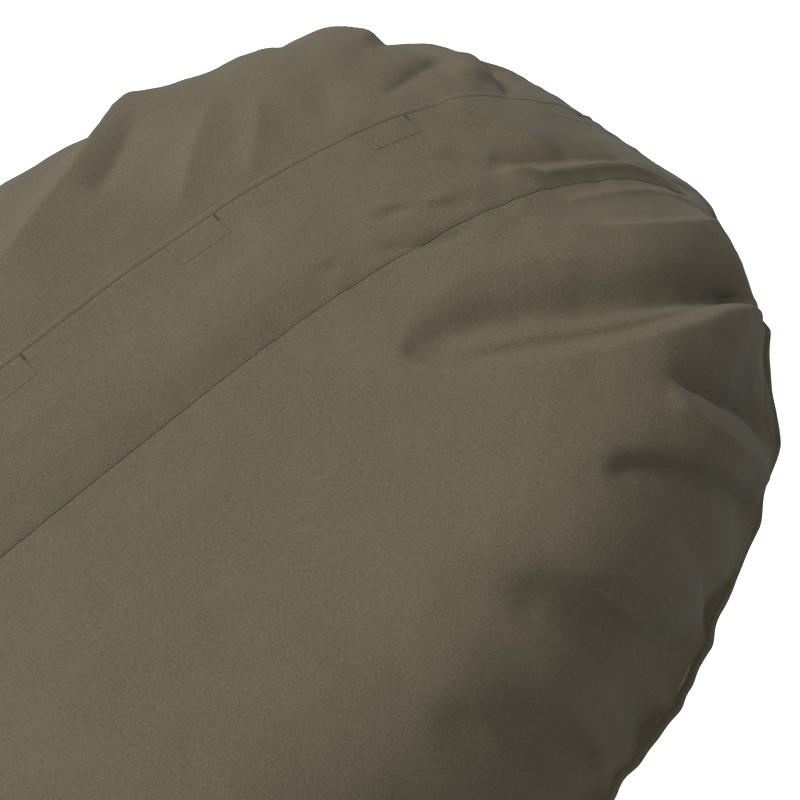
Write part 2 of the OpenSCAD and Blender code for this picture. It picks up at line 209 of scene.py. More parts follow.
@dataclass(frozen=True)
class SackForm:
    """The outside face of the sack, filled out, before any fold."""

    head_end: float = 1.120
    foot_end: float = 1.080
    half_w: float = 0.430
    foot_w: float = 0.634
    crown_h: float = 0.305
    seam_h: float = 0.070
    crown_fall: float = 0.05
    head_round: float = 0.605
    foot_round: float = 0.260
    head_slope: float = 0.470
    foot_slope: float = 0.380
    floor_turn: float = 0.110
    crown_flat: float = 0.12
    crown_pow: float = 5.0
    slope_pow: float = 3.0
    zip_bend: tuple[float, float, float] = (0.640, 0.480, 0.115)
    flap_bend: tuple[float, float, float] = (0.500, 0.600, 0.1003)

    @property
    def head_x0(self) -> float:
        """Where the head end starts to round, seen from above."""
        return self.head_end - self.head_round

    @property
    def foot_x0(self) -> float:
        """Where the foot end starts to round, seen from above."""
        return -self.foot_end + self.foot_round

    def body_width(self, x: Array) -> Array:
        """Half the width at x that the tapering body has before its ends round off."""
        taper = 1.0 - self.foot_w / (2.0 * self.half_w)
        share = taper * np.maximum(0.0, self.head_x0 - x) / (self.head_x0 + self.foot_end)
        return self.half_w * (1.0 - share)

    def end_share(self, x: Array) -> Array:
        """How far x has gone round the head or foot end, 0 on the body and 1 at the tip."""
        head = (x - self.head_x0) / self.head_round
        foot = (self.foot_x0 - x) / self.foot_round
        return np.maximum(0.0, np.maximum(head, foot))

    def half_width(self, x: Array) -> Array:
        """Half the plan width of the sack at x."""
        return self.body_width(x) * np.sqrt(np.maximum(0.0, 1.0 - self.end_share(x) ** 2))

    def inside(self, x: Array, y: Array) -> Array:
        """0 along the middle of the sack, 1 on its outline and more outside it."""
        return np.sqrt(self.end_share(x) ** 2 + (y / self.body_width(x)) ** 2 + 1e-9)

    def rim(self, x: Array, y: Array) -> tuple[Array, Array, Array]:
        """Distance to the outline in plan, and the outward direction's X and Y."""
        step = 0.0005
        here = self.inside(x, y)
        grad_x = (self.inside(x + step, y) - self.inside(x - step, y)) / (2 * step)
        grad_y = (self.inside(x, y + step) - self.inside(x, y - step)) / (2 * step)
        size = np.sqrt(grad_x**2 + grad_y**2) + 1e-6
        gap = np.clip((1.0 - here) / size, 0.0, 0.6)
        return gap, grad_x / size, grad_y / size

    def crown_line(self, x: Array) -> Array:
        """Height of the straight crown line that the ends fall away from."""
        return self.crown_h - self.crown_fall * np.maximum(0.0, self.head_end - self.head_slope - x)

    def crown(self, x: Array) -> Array:
        """Height of the crown at x."""
        head = (x - self.head_end + self.head_slope) / self.head_slope
        foot = (self.foot_slope - self.foot_end - x) / self.foot_slope
        head_drop = 1.0 - np.clip(head, 0.0, 1.0) ** self.slope_pow
        foot_drop = 1.0 - np.clip(foot, 0.0, 1.0) ** self.slope_pow
        return self.seam_h + (self.crown_line(x) - self.seam_h) * head_drop * foot_drop

    def top_z(self, x: Array, y: Array) -> Array:
        """Height of the top face at (x, y); the rim's height outside the outline."""
        side = np.abs(y) / np.maximum(1e-3, self.half_width(x))
        turn = np.clip((side - self.crown_flat) / (1.0 - self.crown_flat), 0.0, 1.0)
        return self.seam_h + np.maximum(0.0, self.crown(x) - self.seam_h) * (1.0 - turn**self.crown_pow)

    def floor_z(self, gap: Array) -> Array:
        """Height of the floor's underside at a distance from the outline."""
        turn = np.clip(1.0 - gap / self.floor_turn, 0.0, 1.0)
        return self.seam_h * turn * turn

    def zip_line(self, x: Array, y0: float | Array) -> Array:
        """Sideways place at x of a line that runs beside the zip from y0."""
        start, span, aside = self.zip_bend
        return y0 - aside * (np.maximum(0.0, x - start) / span) ** 2

    def flap_line(self, x: Array, y0: float | Array) -> Array:
        """Sideways place at x of a line that runs along the storm flap from y0."""
        start, span, aside = self.flap_bend
        return y0 - aside * (np.maximum(0.0, x - start) / span) ** 2


@dataclass
class ClothSurface:
    """The sack's folded surface, which every piece of cloth and trim follows."""

    form: SackForm
    folds: tuple[Fold, ...]
    corners: tuple[SeamCorner, ...]
    zip_y: float
    slider_end_x: float
    stop_x: float
    seam_reach: float = 0.045
    tracks: list[Array] = field(default_factory=list)

    def __post_init__(self) -> None:
        """Lays each fold's path on the unfolded surface."""
        for fold in self.folds:
            line = spline(fold.path, 40)
            z, _ = self.unfolded(line[:, 0], line[:, 1])
            self.tracks.append(np.column_stack([line, z]))

    def slack_seam(self, foot: Array) -> Array:
        """1 along the near side's stretch where the seam stands out loose, 0 elsewhere."""
        stretch = smoothstep(0.50, 0.58, foot[:, 0]) * (1.0 - smoothstep(0.74, 0.82, foot[:, 0]))
        return stretch * (foot[:, 1] < 0.0)

    def flange(self, foot: Array) -> Array:
        """Width of the flat edge beside the seam at a place on the outline."""
        wave = smoothstep(-0.35, 0.55, cloth_noise(foot, 0.062, 3))
        wide = self.slack_seam(foot)
        return 0.003 + 0.005 * wave + (0.006 + 0.012 * wave) * wide

    def unfolded(self, x: Array, y: Array) -> tuple[Array, Array]:
        """Height of the top face with its flat edge, and N by 3 places on the outline."""
        gap, out_x, out_y = self.form.rim(x, y)
        foot = np.column_stack([x + out_x * gap, y + out_y * gap, 0 * x])
        shift = self.flange(foot) * (1.0 - smoothstep(0.05, 0.20, gap))
        z = self.form.top_z(x + out_x * shift, y + out_y * shift)
        return z + 0.0016 * smoothstep(0.0, 0.003, gap), foot

    def rim_shift(self, foot: Array) -> Array:
        """How far the seam itself is drawn in and lifted by its puckers."""
        _, out_x, out_y = self.form.rim(foot[:, 0], foot[:, 1])
        drawn = 0.0025 + 0.0025 * cloth_noise(foot, 0.05, 5) + 0.003 * cloth_noise(foot, 0.16, 6)
        for corner in self.corners:
            away = np.hypot(foot[:, 0] - corner.at[0], foot[:, 1] - corner.at[1])
            drawn = drawn - corner.out * np.exp(-((away / corner.reach) ** corner.point))
        lift = 0.004 * cloth_noise(foot, 0.07, 7) + 0.002 * cloth_noise(foot, 0.028, 8)
        slack = self.slack_seam(foot)
        lift = lift + slack * (0.007 + 0.011 * cloth_noise(foot, 0.034, 18))
        drawn = drawn - slack * (0.004 + 0.006 * cloth_noise(foot, 0.030, 19))
        return np.column_stack([-out_x * drawn, -out_y * drawn, lift])

    def seam_hold(self, away: float | Array) -> float | Array:
        """Share of the seam's shift that is left at a distance from the seam."""
        return np.exp(-((away / self.seam_reach) ** 1.4))

    def folded(self, place: Array, normal: Array) -> Array:
        """Sum of all the named folds at places on the unfolded surface."""
        total = np.zeros(len(place))
        for fold, track in zip(self.folds, self.tracks):
            reach = 2.6 * max(*fold.left, *fold.right)
            near = np.all((place > track.min(0) - reach) & (place < track.max(0) + reach), axis=1)
            index = np.nonzero(near)[0]
            if len(index):
                total[index] -= fold.section(place[index], normal[index], track)
        return total

    def wrinkled(self, place: Array, foot: Array) -> Array:
        """Puckers that run in from the seam, and the soft unevenness of the filling."""
        rim = foot + np.array([0.0, 0.0, self.form.seam_h])
        away = np.linalg.norm(place - rim, axis=1)
        ridge = 1.0 - 2.2 * np.abs(cloth_noise(foot, 0.045, 11))
        pucker = 0.0020 * ridge * np.exp(-((away / 0.050) ** 1.3))
        pucker += 0.0042 * cloth_noise(foot, 0.115, 12) * np.exp(-((away / 0.13) ** 1.5))
        pucker *= 1.0 - np.exp(-away / 0.012)
        drag = 1.0 - 2.4 * np.abs(cloth_noise(foot + 0.12 * place, 0.030, 16))
        pucker += 0.0012 * drag * np.exp(-((away / 0.17) ** 2)) * smoothstep(0.012, 0.05, away)
        for offset, size in ((0.008, 0.0015), (0.138, 0.0009)):
            beside = np.abs(place[:, 1] - self.form.flap_line(place[:, 0], offset))
            seam = np.column_stack([place[:, 0], 0.2 * place[:, 1], 0 * beside])
            pucker += size * cloth_noise(seam, 0.019, 17) * np.exp(-((beside / 0.019) ** 1.5))
        busy = 0.55 + 0.75 * smoothstep(0.62, 0.90, place[:, 0])
        soft = 0.0030 * cloth_noise(place, 0.22, 13) + 0.0016 * cloth_noise(place, 0.075, 14)
        fine = 0.0007 * cloth_noise(place, 0.026, 15)
        crumple = 1.0 - 2.6 * np.abs(cloth_noise(place, 0.060, 20))
        fine += 0.0011 * crumple * smoothstep(-0.1, 0.5, cloth_noise(place, 0.16, 21))
        inward = smoothstep(0.0, 0.06, away)
        return pucker + (soft + fine) * busy * inward

    def calm(self, x: Array, y: Array) -> Array:
        """0 on the band where the sliders run, 1 away from it."""
        aside = np.abs(y - self.form.zip_line(x, self.zip_y))
        band = 1.0 - smoothstep(0.014, 0.040, aside)
        run = 1.0 - smoothstep(self.slider_end_x, self.slider_end_x + 0.05, x)
        stop = 1.0 - smoothstep(0.010, 0.034, np.abs(x - self.stop_x))
        return 1.0 - band * np.maximum(run, stop)

    def at(self, x: Array, y: Array, lift: float | Array = 0.0) -> tuple[Array, Array]:
        """Finds the folded surface.

        Args:
            x: Places along the sack.
            y: Places across it.
            lift: Height above the cloth, along the surface's normal.

        Returns:
            N by 3 places and N by 3 unit normals of the unfolded surface.
        """
        x = np.asarray(x, float)
        y = np.asarray(y, float)
        step = 0.001
        z, foot = self.unfolded(x, y)
        rise_x = (self.unfolded(x + step, y)[0] - self.unfolded(x - step, y)[0]) / (2 * step)
        rise_y = (self.unfolded(x, y + step)[0] - self.unfolded(x, y - step)[0]) / (2 * step)
        gap, _, _ = self.form.rim(x, y)
        # Beside the seam the two sides of a central difference differ too much, so
        # the normal turns to straight up there.
        tame = smoothstep(0.0, 0.004, gap)
        normal = np.column_stack([-rise_x * tame, -rise_y * tame, np.ones_like(x)])
        normal /= np.linalg.norm(normal, axis=1)[:, None]
        place = np.column_stack([x, y, z])
        rim = foot + np.array([0.0, 0.0, self.form.seam_h])
        away = np.linalg.norm(place - rim, axis=1)
        shift = self.rim_shift(foot) * self.seam_hold(away)[:, None]
        depth = (self.folded(place, normal) + self.wrinkled(place, foot)) * self.calm(x, y)
        depth = depth * (1.0 - np.exp(-((away / 0.024) ** 1.5)))
        return place + normal * (depth + lift)[:, None] + shift, normal


# ---- Meshes ----


def cloth_mesh(name: str, places: Array, faces: Array, weave: Array) -> bpy.types.Object:
    """Makes one smooth mesh object from arrays.

    Args:
        name: Name of the piece.
        places: N by 3 places in metres.
        faces: M by 4 corner numbers.
        weave: N by 2 lengths along the cloth in metres, kept as the UV map.

    Returns:
        The new object, at the origin.
    """
    mesh = bpy.data.meshes.new(name)
    mesh.vertices.add(len(places))
    mesh.vertices.foreach_set("co", places.astype(np.float32).ravel())
    mesh.loops.add(faces.size)
    mesh.loops.foreach_set("vertex_index", faces.astype(np.int32).ravel())
    mesh.polygons.add(len(faces))
    mesh.polygons.foreach_set("loop_start", np.arange(0, faces.size, 4, dtype=np.int32))
    mesh.update(calc_edges=True)
    layer = mesh.uv_layers.new(name="weave")
    layer.data.foreach_set("uv", weave[faces.ravel()].astype(np.float32).ravel())
    mesh.validate()
    welded = bmesh.new()
    welded.from_mesh(mesh)
    bmesh.ops.remove_doubles(welded, verts=welded.verts, dist=2e-5)
    bmesh.ops.dissolve_degenerate(welded, edges=welded.edges, dist=1e-6)
    welded.to_mesh(mesh)
    welded.free()
    mesh.polygons.foreach_set("use_smooth", [True] * len(mesh.polygons))
    piece = bpy.data.objects.new(name, mesh)
    bpy.context.scene.collection.objects.link(piece)
    return piece


def grid_faces(rows: int, columns: int, offset: int = 0, turned: bool = False) -> Array:
    """Corner numbers of a grid of faces, rows by columns of points."""
    i, j = np.meshgrid(np.arange(rows - 1), np.arange(columns - 1), indexing="ij")
    a = (i * columns + j).ravel() + offset
    loop = [a, a + columns, a + columns + 1, a + 1]
    return np.stack(loop[::-1] if turned else loop, axis=1)


def ring_faces(rings: int, sides: int, closed: bool = False) -> Array:
    """Corner numbers of a tube of rings; closed joins its last ring to the first."""
    turns = rings if closed else rings - 1
    i, k = np.meshgrid(np.arange(turns), np.arange(sides), indexing="ij")
    ahead, beside = (i + 1) % rings, (k + 1) % sides
    corners = [i * sides + k, ahead * sides + k, ahead * sides + beside, i * sides + beside]
    return np.stack([c.ravel() for c in corners], axis=1)


def band(
    name: str, surface: ClothSurface, x: Array, y: Array, top: Array, under: Array
) -> bpy.types.Object:
    """Makes a closed thin band that follows the surface.

    Args:
        name: Name of the piece.
        surface: The folded surface.
        x: Stations along the band.
        y: Stations by rows of sideways places.
        top: Height of the upper face above the cloth, the same shape as y.
        under: Height of the lower face.

    Returns:
        The band, with its long way along the weave's first direction.
    """
    rows, columns = y.shape
    along = np.repeat(x, columns)
    upper, _ = surface.at(along, y.ravel(), top.ravel())
    lower, _ = surface.at(along, y.ravel(), under.ravel())
    rings = np.concatenate(
        [upper.reshape(rows, columns, 3), lower.reshape(rows, columns, 3)[:, ::-1]], axis=1
    )
    sides = 2 * columns
    faces = ring_faces(rows, sides)[:, ::-1]
    last = (rows - 1) * sides
    j = np.arange(columns - 1)
    start = np.stack([j, j + 1, sides - 2 - j, sides - 1 - j], axis=1)
    caps = np.concatenate([start, last + start[:, ::-1]])
    across = np.concatenate([y - y[:, :1], (y - y[:, :1])[:, ::-1]], axis=1)
    weave = np.column_stack([np.repeat(x, sides), across.ravel()])
    piece = cloth_mesh(name, rings.reshape(-1, 3), np.concatenate([faces, caps]), weave)
    face_outward(piece)
    return piece


def face_outward(piece: bpy.types.Object) -> None:
    """Turns the faces of a closed piece outward."""
    shell = bmesh.new()
    shell.from_mesh(piece.data)
    bmesh.ops.recalc_face_normals(shell, faces=shell.faces)
    shell.to_mesh(piece.data)
    shell.free()


@dataclass(frozen=True)
class StitchKind:
    """Sizes of one kind of stitch."""

    length: float = 0.0026
    gap: float = 0.0006
    radius: float = 0.00028
    sides: int = 5


def stitched(name: str, lines: Sequence[Array], kind: StitchKind) -> bpy.types.Object:
    """Makes rows of separate stitches, each a small closed spindle.

    Args:
        name: Name of the piece.
        lines: Paths, each N by 3 places in metres.
        kind: Sizes of a stitch.

    Returns:
        One object with every stitch.
    """
    shape = [(-0.5, 0.25), (-0.36, 0.9), (0.0, 1.0), (0.36, 0.9), (0.5, 0.25)]
    ends, turns = len(shape), np.arange(kind.sides) / kind.sides * math.tau
    centres, ways = [], []
    for line in lines:
        gaps = np.linalg.norm(np.diff(line, axis=0), axis=1)
        run = np.concatenate([[0.0], np.cumsum(gaps)])
        pitch = kind.length + kind.gap
        at = np.arange(pitch / 2, run[-1], pitch)
        centre = np.column_stack([np.interp(at, run, line[:, k]) for k in range(3)])
        ahead = np.column_stack([np.interp(at + pitch / 4, run, line[:, k]) for k in range(3)])
        behind = np.column_stack([np.interp(at - pitch / 4, run, line[:, k]) for k in range(3)])
        centres.append(centre)
        ways.append(ahead - behind)
    centre, way = np.concatenate(centres), np.concatenate(ways)
    way /= np.linalg.norm(way, axis=1)[:, None] + 1e-12
    side = np.cross(way, [0.0, 0.0, 1.0])
    side /= np.linalg.norm(side, axis=1)[:, None] + 1e-12
    rise = np.cross(side, way)
    rings = []
    for along, wide in shape:
        for turn in turns:
            rings.append(
                centre
                + way * (along * kind.length)
                + (side * math.cos(turn) + rise * math.sin(turn)) * (wide * kind.radius)
            )
    places = np.stack(rings, axis=1)
    count = len(centre)
    one = ring_faces(ends, kind.sides)
    step = ends * kind.sides
    faces = (one[None] + (np.arange(count) * step)[:, None, None]).reshape(-1, 4)
    caps = []
    for first in (0, (ends - 1) * kind.sides):
        quad = [first, first + 1, first + 2, first + 3]
        last = [first, first + 3, first + 4, first]
        caps += [quad, last] if first == 0 else [quad[::-1], last[::-1]]
    return stitch_mesh(name, places.reshape(-1, 3), faces, caps, step, count)


def stitch_mesh(
    name: str, places: Array, faces: Array, caps: list[list[int]], step: int, count: int
) -> bpy.types.Object:
    """Makes the mesh of many stitches, with their two ends closed."""
    mesh = bpy.data.meshes.new(name)
    quads = [tuple(f) for f in faces.tolist()]
    for k in range(count):
        base = k * step
        for cap in caps:
            corners = tuple(base + c for c in dict.fromkeys(cap))
            quads.append(corners)
    mesh.from_pydata(places.tolist(), [], quads)
    mesh.polygons.foreach_set("use_smooth", [True] * len(mesh.polygons))
    mesh.update()
    piece = bpy.data.objects.new(name, mesh)
    bpy.context.scene.collection.objects.link(piece)
    face_outward(piece)
    return piece


# ---- Finishes ----


def new_group(name: str, inputs: Iterable[tuple[str, str, object]], outputs: Iterable[tuple[str, str]]):
    """Starts a shader node group.

    Args:
        name: Name of the group.
        inputs: Name, socket type and default of each input.
        outputs: Name and socket type of each output.

    Returns:
        The group, its input node and its output node.
    """
    group = bpy.data.node_groups.new(name, "ShaderNodeTree")
    for label, kind, value in inputs:
        socket = group.interface.new_socket(name=label, in_out="INPUT", socket_type=kind)
        if value is not None:
            socket.default_value = value
    for label, kind in outputs:
        group.interface.new_socket(name=label, in_out="OUTPUT", socket_type=kind)
    return group, group.nodes.new("NodeGroupInput"), group.nodes.new("NodeGroupOutput")


class NodeBench:
    """Adds nodes to a tree with their values and links in one call."""

    def __init__(self, tree: bpy.types.NodeTree) -> None:
        """Keeps the tree that nodes are added to."""
        self.tree = tree

    def add(self, kind: str, ins: dict | None = None, **values: object) -> bpy.types.Node:
        """Adds a node.

        Args:
            kind: Blender's name for the node.
            ins: Input name or number to a value, or to a socket to link from.
            values: The node's own settings.

        Returns:
            The node.
        """
        node = self.tree.nodes.new(kind)
        for key, value in values.items():
            setattr(node, key, value)
        for key, value in (ins or {}).items():
            if isinstance(value, bpy.types.NodeSocket):
                self.tree.links.new(value, node.inputs[key])
            else:
                node.inputs[key].default_value = value
        return node

    def maths(self, operation: str, *terms: object) -> bpy.types.NodeSocket:
        """Adds a Math node of up to three terms and returns its output."""
        node = self.add("ShaderNodeMath", dict(enumerate(terms)), operation=operation)
        return node.outputs[0]

    def noise(self, vector: bpy.types.NodeSocket, scale: float, detail: float = 2.0):
        """Adds a noise texture and returns its value."""
        ins = {"Vector": vector, "Scale": scale, "Detail": detail, "Roughness": 0.55}
        return self.add("ShaderNodeTexNoise", ins).outputs[0]

    def mix(self, share: object, first: object, second: object) -> bpy.types.NodeSocket:
        """Mixes two colours and returns the result."""
        node = self.add("ShaderNodeMix", data_type="RGBA")
        for key, value in zip((0, 6, 7), (share, first, second)):
            if isinstance(value, bpy.types.NodeSocket):
                self.tree.links.new(value, node.inputs[key])
            else:
                node.inputs[key].default_value = value
        return node.outputs[2]


def weave_group() -> bpy.types.NodeTree:
    """Builds the plain weave that every woven finish shares."""
    group, start, end = new_group(
        "plain_weave",
        [
            ("Weave", "NodeSocketVector", None),
            ("Place", "NodeSocketVector", None),
            ("Threads", "NodeSocketFloat", 1100.0),
            ("Colour", "NodeSocketColor", (0.1, 0.1, 0.1, 1.0)),
            ("Deep", "NodeSocketColor", (0.05, 0.05, 0.05, 1.0)),
            ("Worn", "NodeSocketColor", (0.2, 0.2, 0.2, 1.0)),
            ("Mottle", "NodeSocketFloat", 0.4),
        ],
        [("Colour", "NodeSocketColor"), ("Rough", "NodeSocketFloat"), ("Height", "NodeSocketFloat")],
    )
    bench = NodeBench(group)
    ins = start.outputs
    split = bench.add("ShaderNodeSeparateXYZ", {0: ins["Weave"]})
    warp = bench.maths("SINE", bench.maths("MULTIPLY", split.outputs[0], ins["Threads"]))
    weft = bench.maths("SINE", bench.maths("MULTIPLY", split.outputs[1], ins["Threads"]))
    cross = bench.maths("MULTIPLY", warp, weft)
    slub = bench.noise(ins["Place"], 420.0, 3.0)
    patchy = bench.noise(ins["Place"], 13.0, 3.0)
    cloud = bench.noise(ins["Place"], 3.2, 2.0)
    grain = bench.noise(ins["Place"], 620.0, 2.0)
    height = bench.maths("MULTIPLY_ADD", cross, 0.22, bench.maths("MULTIPLY", slub, 0.5))
    height = bench.maths("MULTIPLY_ADD", grain, 0.5, height)
    speck = bench.add("ShaderNodeMapRange", {0: grain, 1: 0.38, 2: 0.62}).outputs[0]
    tone = bench.maths("MULTIPLY_ADD", cross, 0.10, bench.maths("MULTIPLY", speck, 0.50))
    tone = bench.maths("MULTIPLY_ADD", slub, 0.50, tone)
    cover = bench.mix(tone, ins["Deep"], ins["Colour"])
    spread = bench.maths("MULTIPLY", bench.maths("ADD", patchy, cloud), 0.5)
    worn = bench.add(
        "ShaderNodeMapRange",
        {0: spread, 1: 0.42, 2: 0.64, 3: 0.0, 4: ins["Mottle"]},
        interpolation_type="SMOOTHSTEP",
    )
    cover = bench.mix(worn.outputs[0], cover, ins["Worn"])
    lint = bench.add("ShaderNodeMapRange", {0: bench.noise(ins["Place"], 260.0, 1.0), 1: 0.735, 2: 0.78})
    cover = bench.mix(bench.maths("MULTIPLY", lint.outputs[0], 0.45), cover, ins["Worn"])
    rough = bench.maths("MULTIPLY_ADD", slub, 0.12, 0.74)
    group.links.new(cover, end.inputs["Colour"])
    group.links.new(rough, end.inputs["Rough"])
    group.links.new(height, end.inputs["Height"])
    return group


@dataclass(frozen=True)
class WovenFinish:
    """A woven cloth, tape or thread."""

    slot: str
    colour: tuple[float, float, float]
    deep: float = 0.58
    worn: float = 1.22
    threads: float = 7000.0
    mottle: float = 0.14
    bump: float = 0.00012
    sheen: float = 0.03

    def build(self, weave: bpy.types.NodeTree) -> bpy.types.Material:
        """Makes the material from the shared weave."""
        material = bpy.data.materials.new(self.slot)
        material.use_nodes = True
        tree = material.node_tree
        bench = NodeBench(tree)
        shader = tree.nodes["Principled BSDF"]
        where = bench.add("ShaderNodeTexCoord")
        group = bench.add("ShaderNodeGroup", node_tree=weave)
        group.inputs["Threads"].default_value = self.threads
        group.inputs["Mottle"].default_value = self.mottle
        for label, share in (("Colour", 1.0), ("Deep", self.deep), ("Worn", self.worn)):
            group.inputs[label].default_value = (*(c * share for c in self.colour), 1.0)
        tree.links.new(where.outputs["UV"], group.inputs["Weave"])
        tree.links.new(where.outputs["Object"], group.inputs["Place"])
        bump = bench.add("ShaderNodeBump", {"Height": group.outputs["Height"], "Distance": self.bump})
        bump.inputs["Strength"].default_value = 0.8
        tree.links.new(group.outputs["Colour"], shader.inputs["Base Color"])
        tree.links.new(group.outputs["Rough"], shader.inputs["Roughness"])
        tree.links.new(bump.outputs["Normal"], shader.inputs["Normal"])
        shader.inputs["Specular IOR Level"].default_value = 0.22
        shader.inputs["Sheen Weight"].default_value = self.sheen
        shader.inputs["Sheen Roughness"].default_value = 0.45
        return material


@dataclass(frozen=True)
class HookFinish:
    """Hook or loop tape: a dark pile of short fibres."""

    slot: str
    colour: tuple[float, float, float]
    pile: float = 900.0

    def build(self) -> bpy.types.Material:
        """Makes the material."""
        material = bpy.data.materials.new(self.slot)
        material.use_nodes = True
        tree = material.node_tree
        bench = NodeBench(tree)
        shader = tree.nodes["Principled BSDF"]
        place = bench.add("ShaderNodeTexCoord").outputs["Object"]
        tufts = bench.add("ShaderNodeTexVoronoi", {"Vector": place, "Scale": self.pile})
        fuzz = bench.noise(place, self.pile * 2.0, 3.0)
        tone = bench.maths("MULTIPLY_ADD", fuzz, 0.6, tufts.outputs["Distance"])
        dark = tuple(c * 0.45 for c in self.colour)
        colour = bench.mix(tone, (*dark, 1.0), (*self.colour, 1.0))
        rough = bench.maths("MULTIPLY_ADD", fuzz, 0.15, 0.8)
        height = bench.maths("MULTIPLY_ADD", fuzz, 0.5, tufts.outputs["Distance"])
        bump = bench.add("ShaderNodeBump", {"Height": height, "Distance": 0.0006, "Strength": 0.9})
        tree.links.new(colour, shader.inputs["Base Color"])
        tree.links.new(rough, shader.inputs["Roughness"])
        tree.links.new(bump.outputs["Normal"], shader.inputs["Normal"])
        return material


@dataclass(frozen=True)
class MetalFinish:
    """Painted metal, rubbed bright in small spots."""

    slot: str
    paint: tuple[float, float, float]
    bare: tuple[float, float, float]

    def build(self) -> bpy.types.Material:
        """Makes the material."""
        material = bpy.data.materials.new(self.slot)
        material.use_nodes = True
        tree = material.node_tree
        bench = NodeBench(tree)
        shader = tree.nodes["Principled BSDF"]
        place = bench.add("ShaderNodeTexCoord").outputs["Object"]
        rubbed = bench.noise(place, 240.0, 4.0)
        spots = bench.add("ShaderNodeMapRange", {0: rubbed, 1: 0.60, 2: 0.70}).outputs[0]
        pitted = bench.noise(place, 1800.0, 2.0)
        colour = bench.mix(spots, (*self.paint, 1.0), (*self.bare, 1.0))
        rough = bench.maths("MULTIPLY_ADD", pitted, 0.25, 0.28)
        metal = bench.maths("MULTIPLY_ADD", spots, 0.6, 0.3)
        bump = bench.add("ShaderNodeBump", {"Height": pitted, "Distance": 0.00005, "Strength": 0.5})
        tree.links.new(colour, shader.inputs["Base Color"])
        tree.links.new(rough, shader.inputs["Roughness"])
        tree.links.new(metal, shader.inputs["Metallic"])
        tree.links.new(bump.outputs["Normal"], shader.inputs["Normal"])
        return material


class Wardrobe:
    """Every finish of the sack, by material slot."""

    def __init__(self) -> None:
        """Builds the materials."""
        weave = weave_group()
        olive = (0.1170, 0.101, 0.0670)
        dark = (0.052, 0.047, 0.034)
        woven = [
            WovenFinish("top_cloth", olive),
            WovenFinish("floor_cloth", (0.060, 0.056, 0.044), mottle=0.3, bump=0.0002),
            # The binding's colour is lighter than the tape's own: a painted highlight for the light caught
            # along the seam's folded edge.
            WovenFinish("binding", (0.170, 0.155, 0.115), threads=4200.0),
            WovenFinish("zip_tape", dark, threads=5200.0),
            WovenFinish("zip_coil", (0.040, 0.037, 0.029), threads=9000.0, mottle=0.1, sheen=0.0),
            WovenFinish("seal_tape", (0.075, 0.070, 0.055), threads=3000.0, mottle=0.15),
            WovenFinish("thread", (0.082, 0.071, 0.049), threads=9000.0, mottle=0.2),
            WovenFinish("webbing", (0.070, 0.063, 0.044), threads=2600.0, bump=0.0003),
        ]
        self.materials = {finish.slot: finish.build(weave) for finish in woven}
        for finish in (HookFinish("hook_tape", dark), HookFinish("loop_tape", dark, 1400.0)):
            self.materials[finish.slot] = finish.build()
        metal = MetalFinish("slider_metal", (0.045, 0.043, 0.038), (0.33, 0.31, 0.27))
        self.materials[metal.slot] = metal.build()

    def dress(self, piece: bpy.types.Object, slot: str) -> bpy.types.Object:
        """Gives a new piece one finish."""
        piece.data.materials.append(self.materials[slot])
        return piece

    def redress(self, names: Iterable[str], slot: str) -> None:
        """Gives carried-over parts a finish through their own material slots."""
        for name in names:
            for holder in bpy.data.objects[name].material_slots:
                holder.material = self.materials[slot]


# ---- The pieces ----


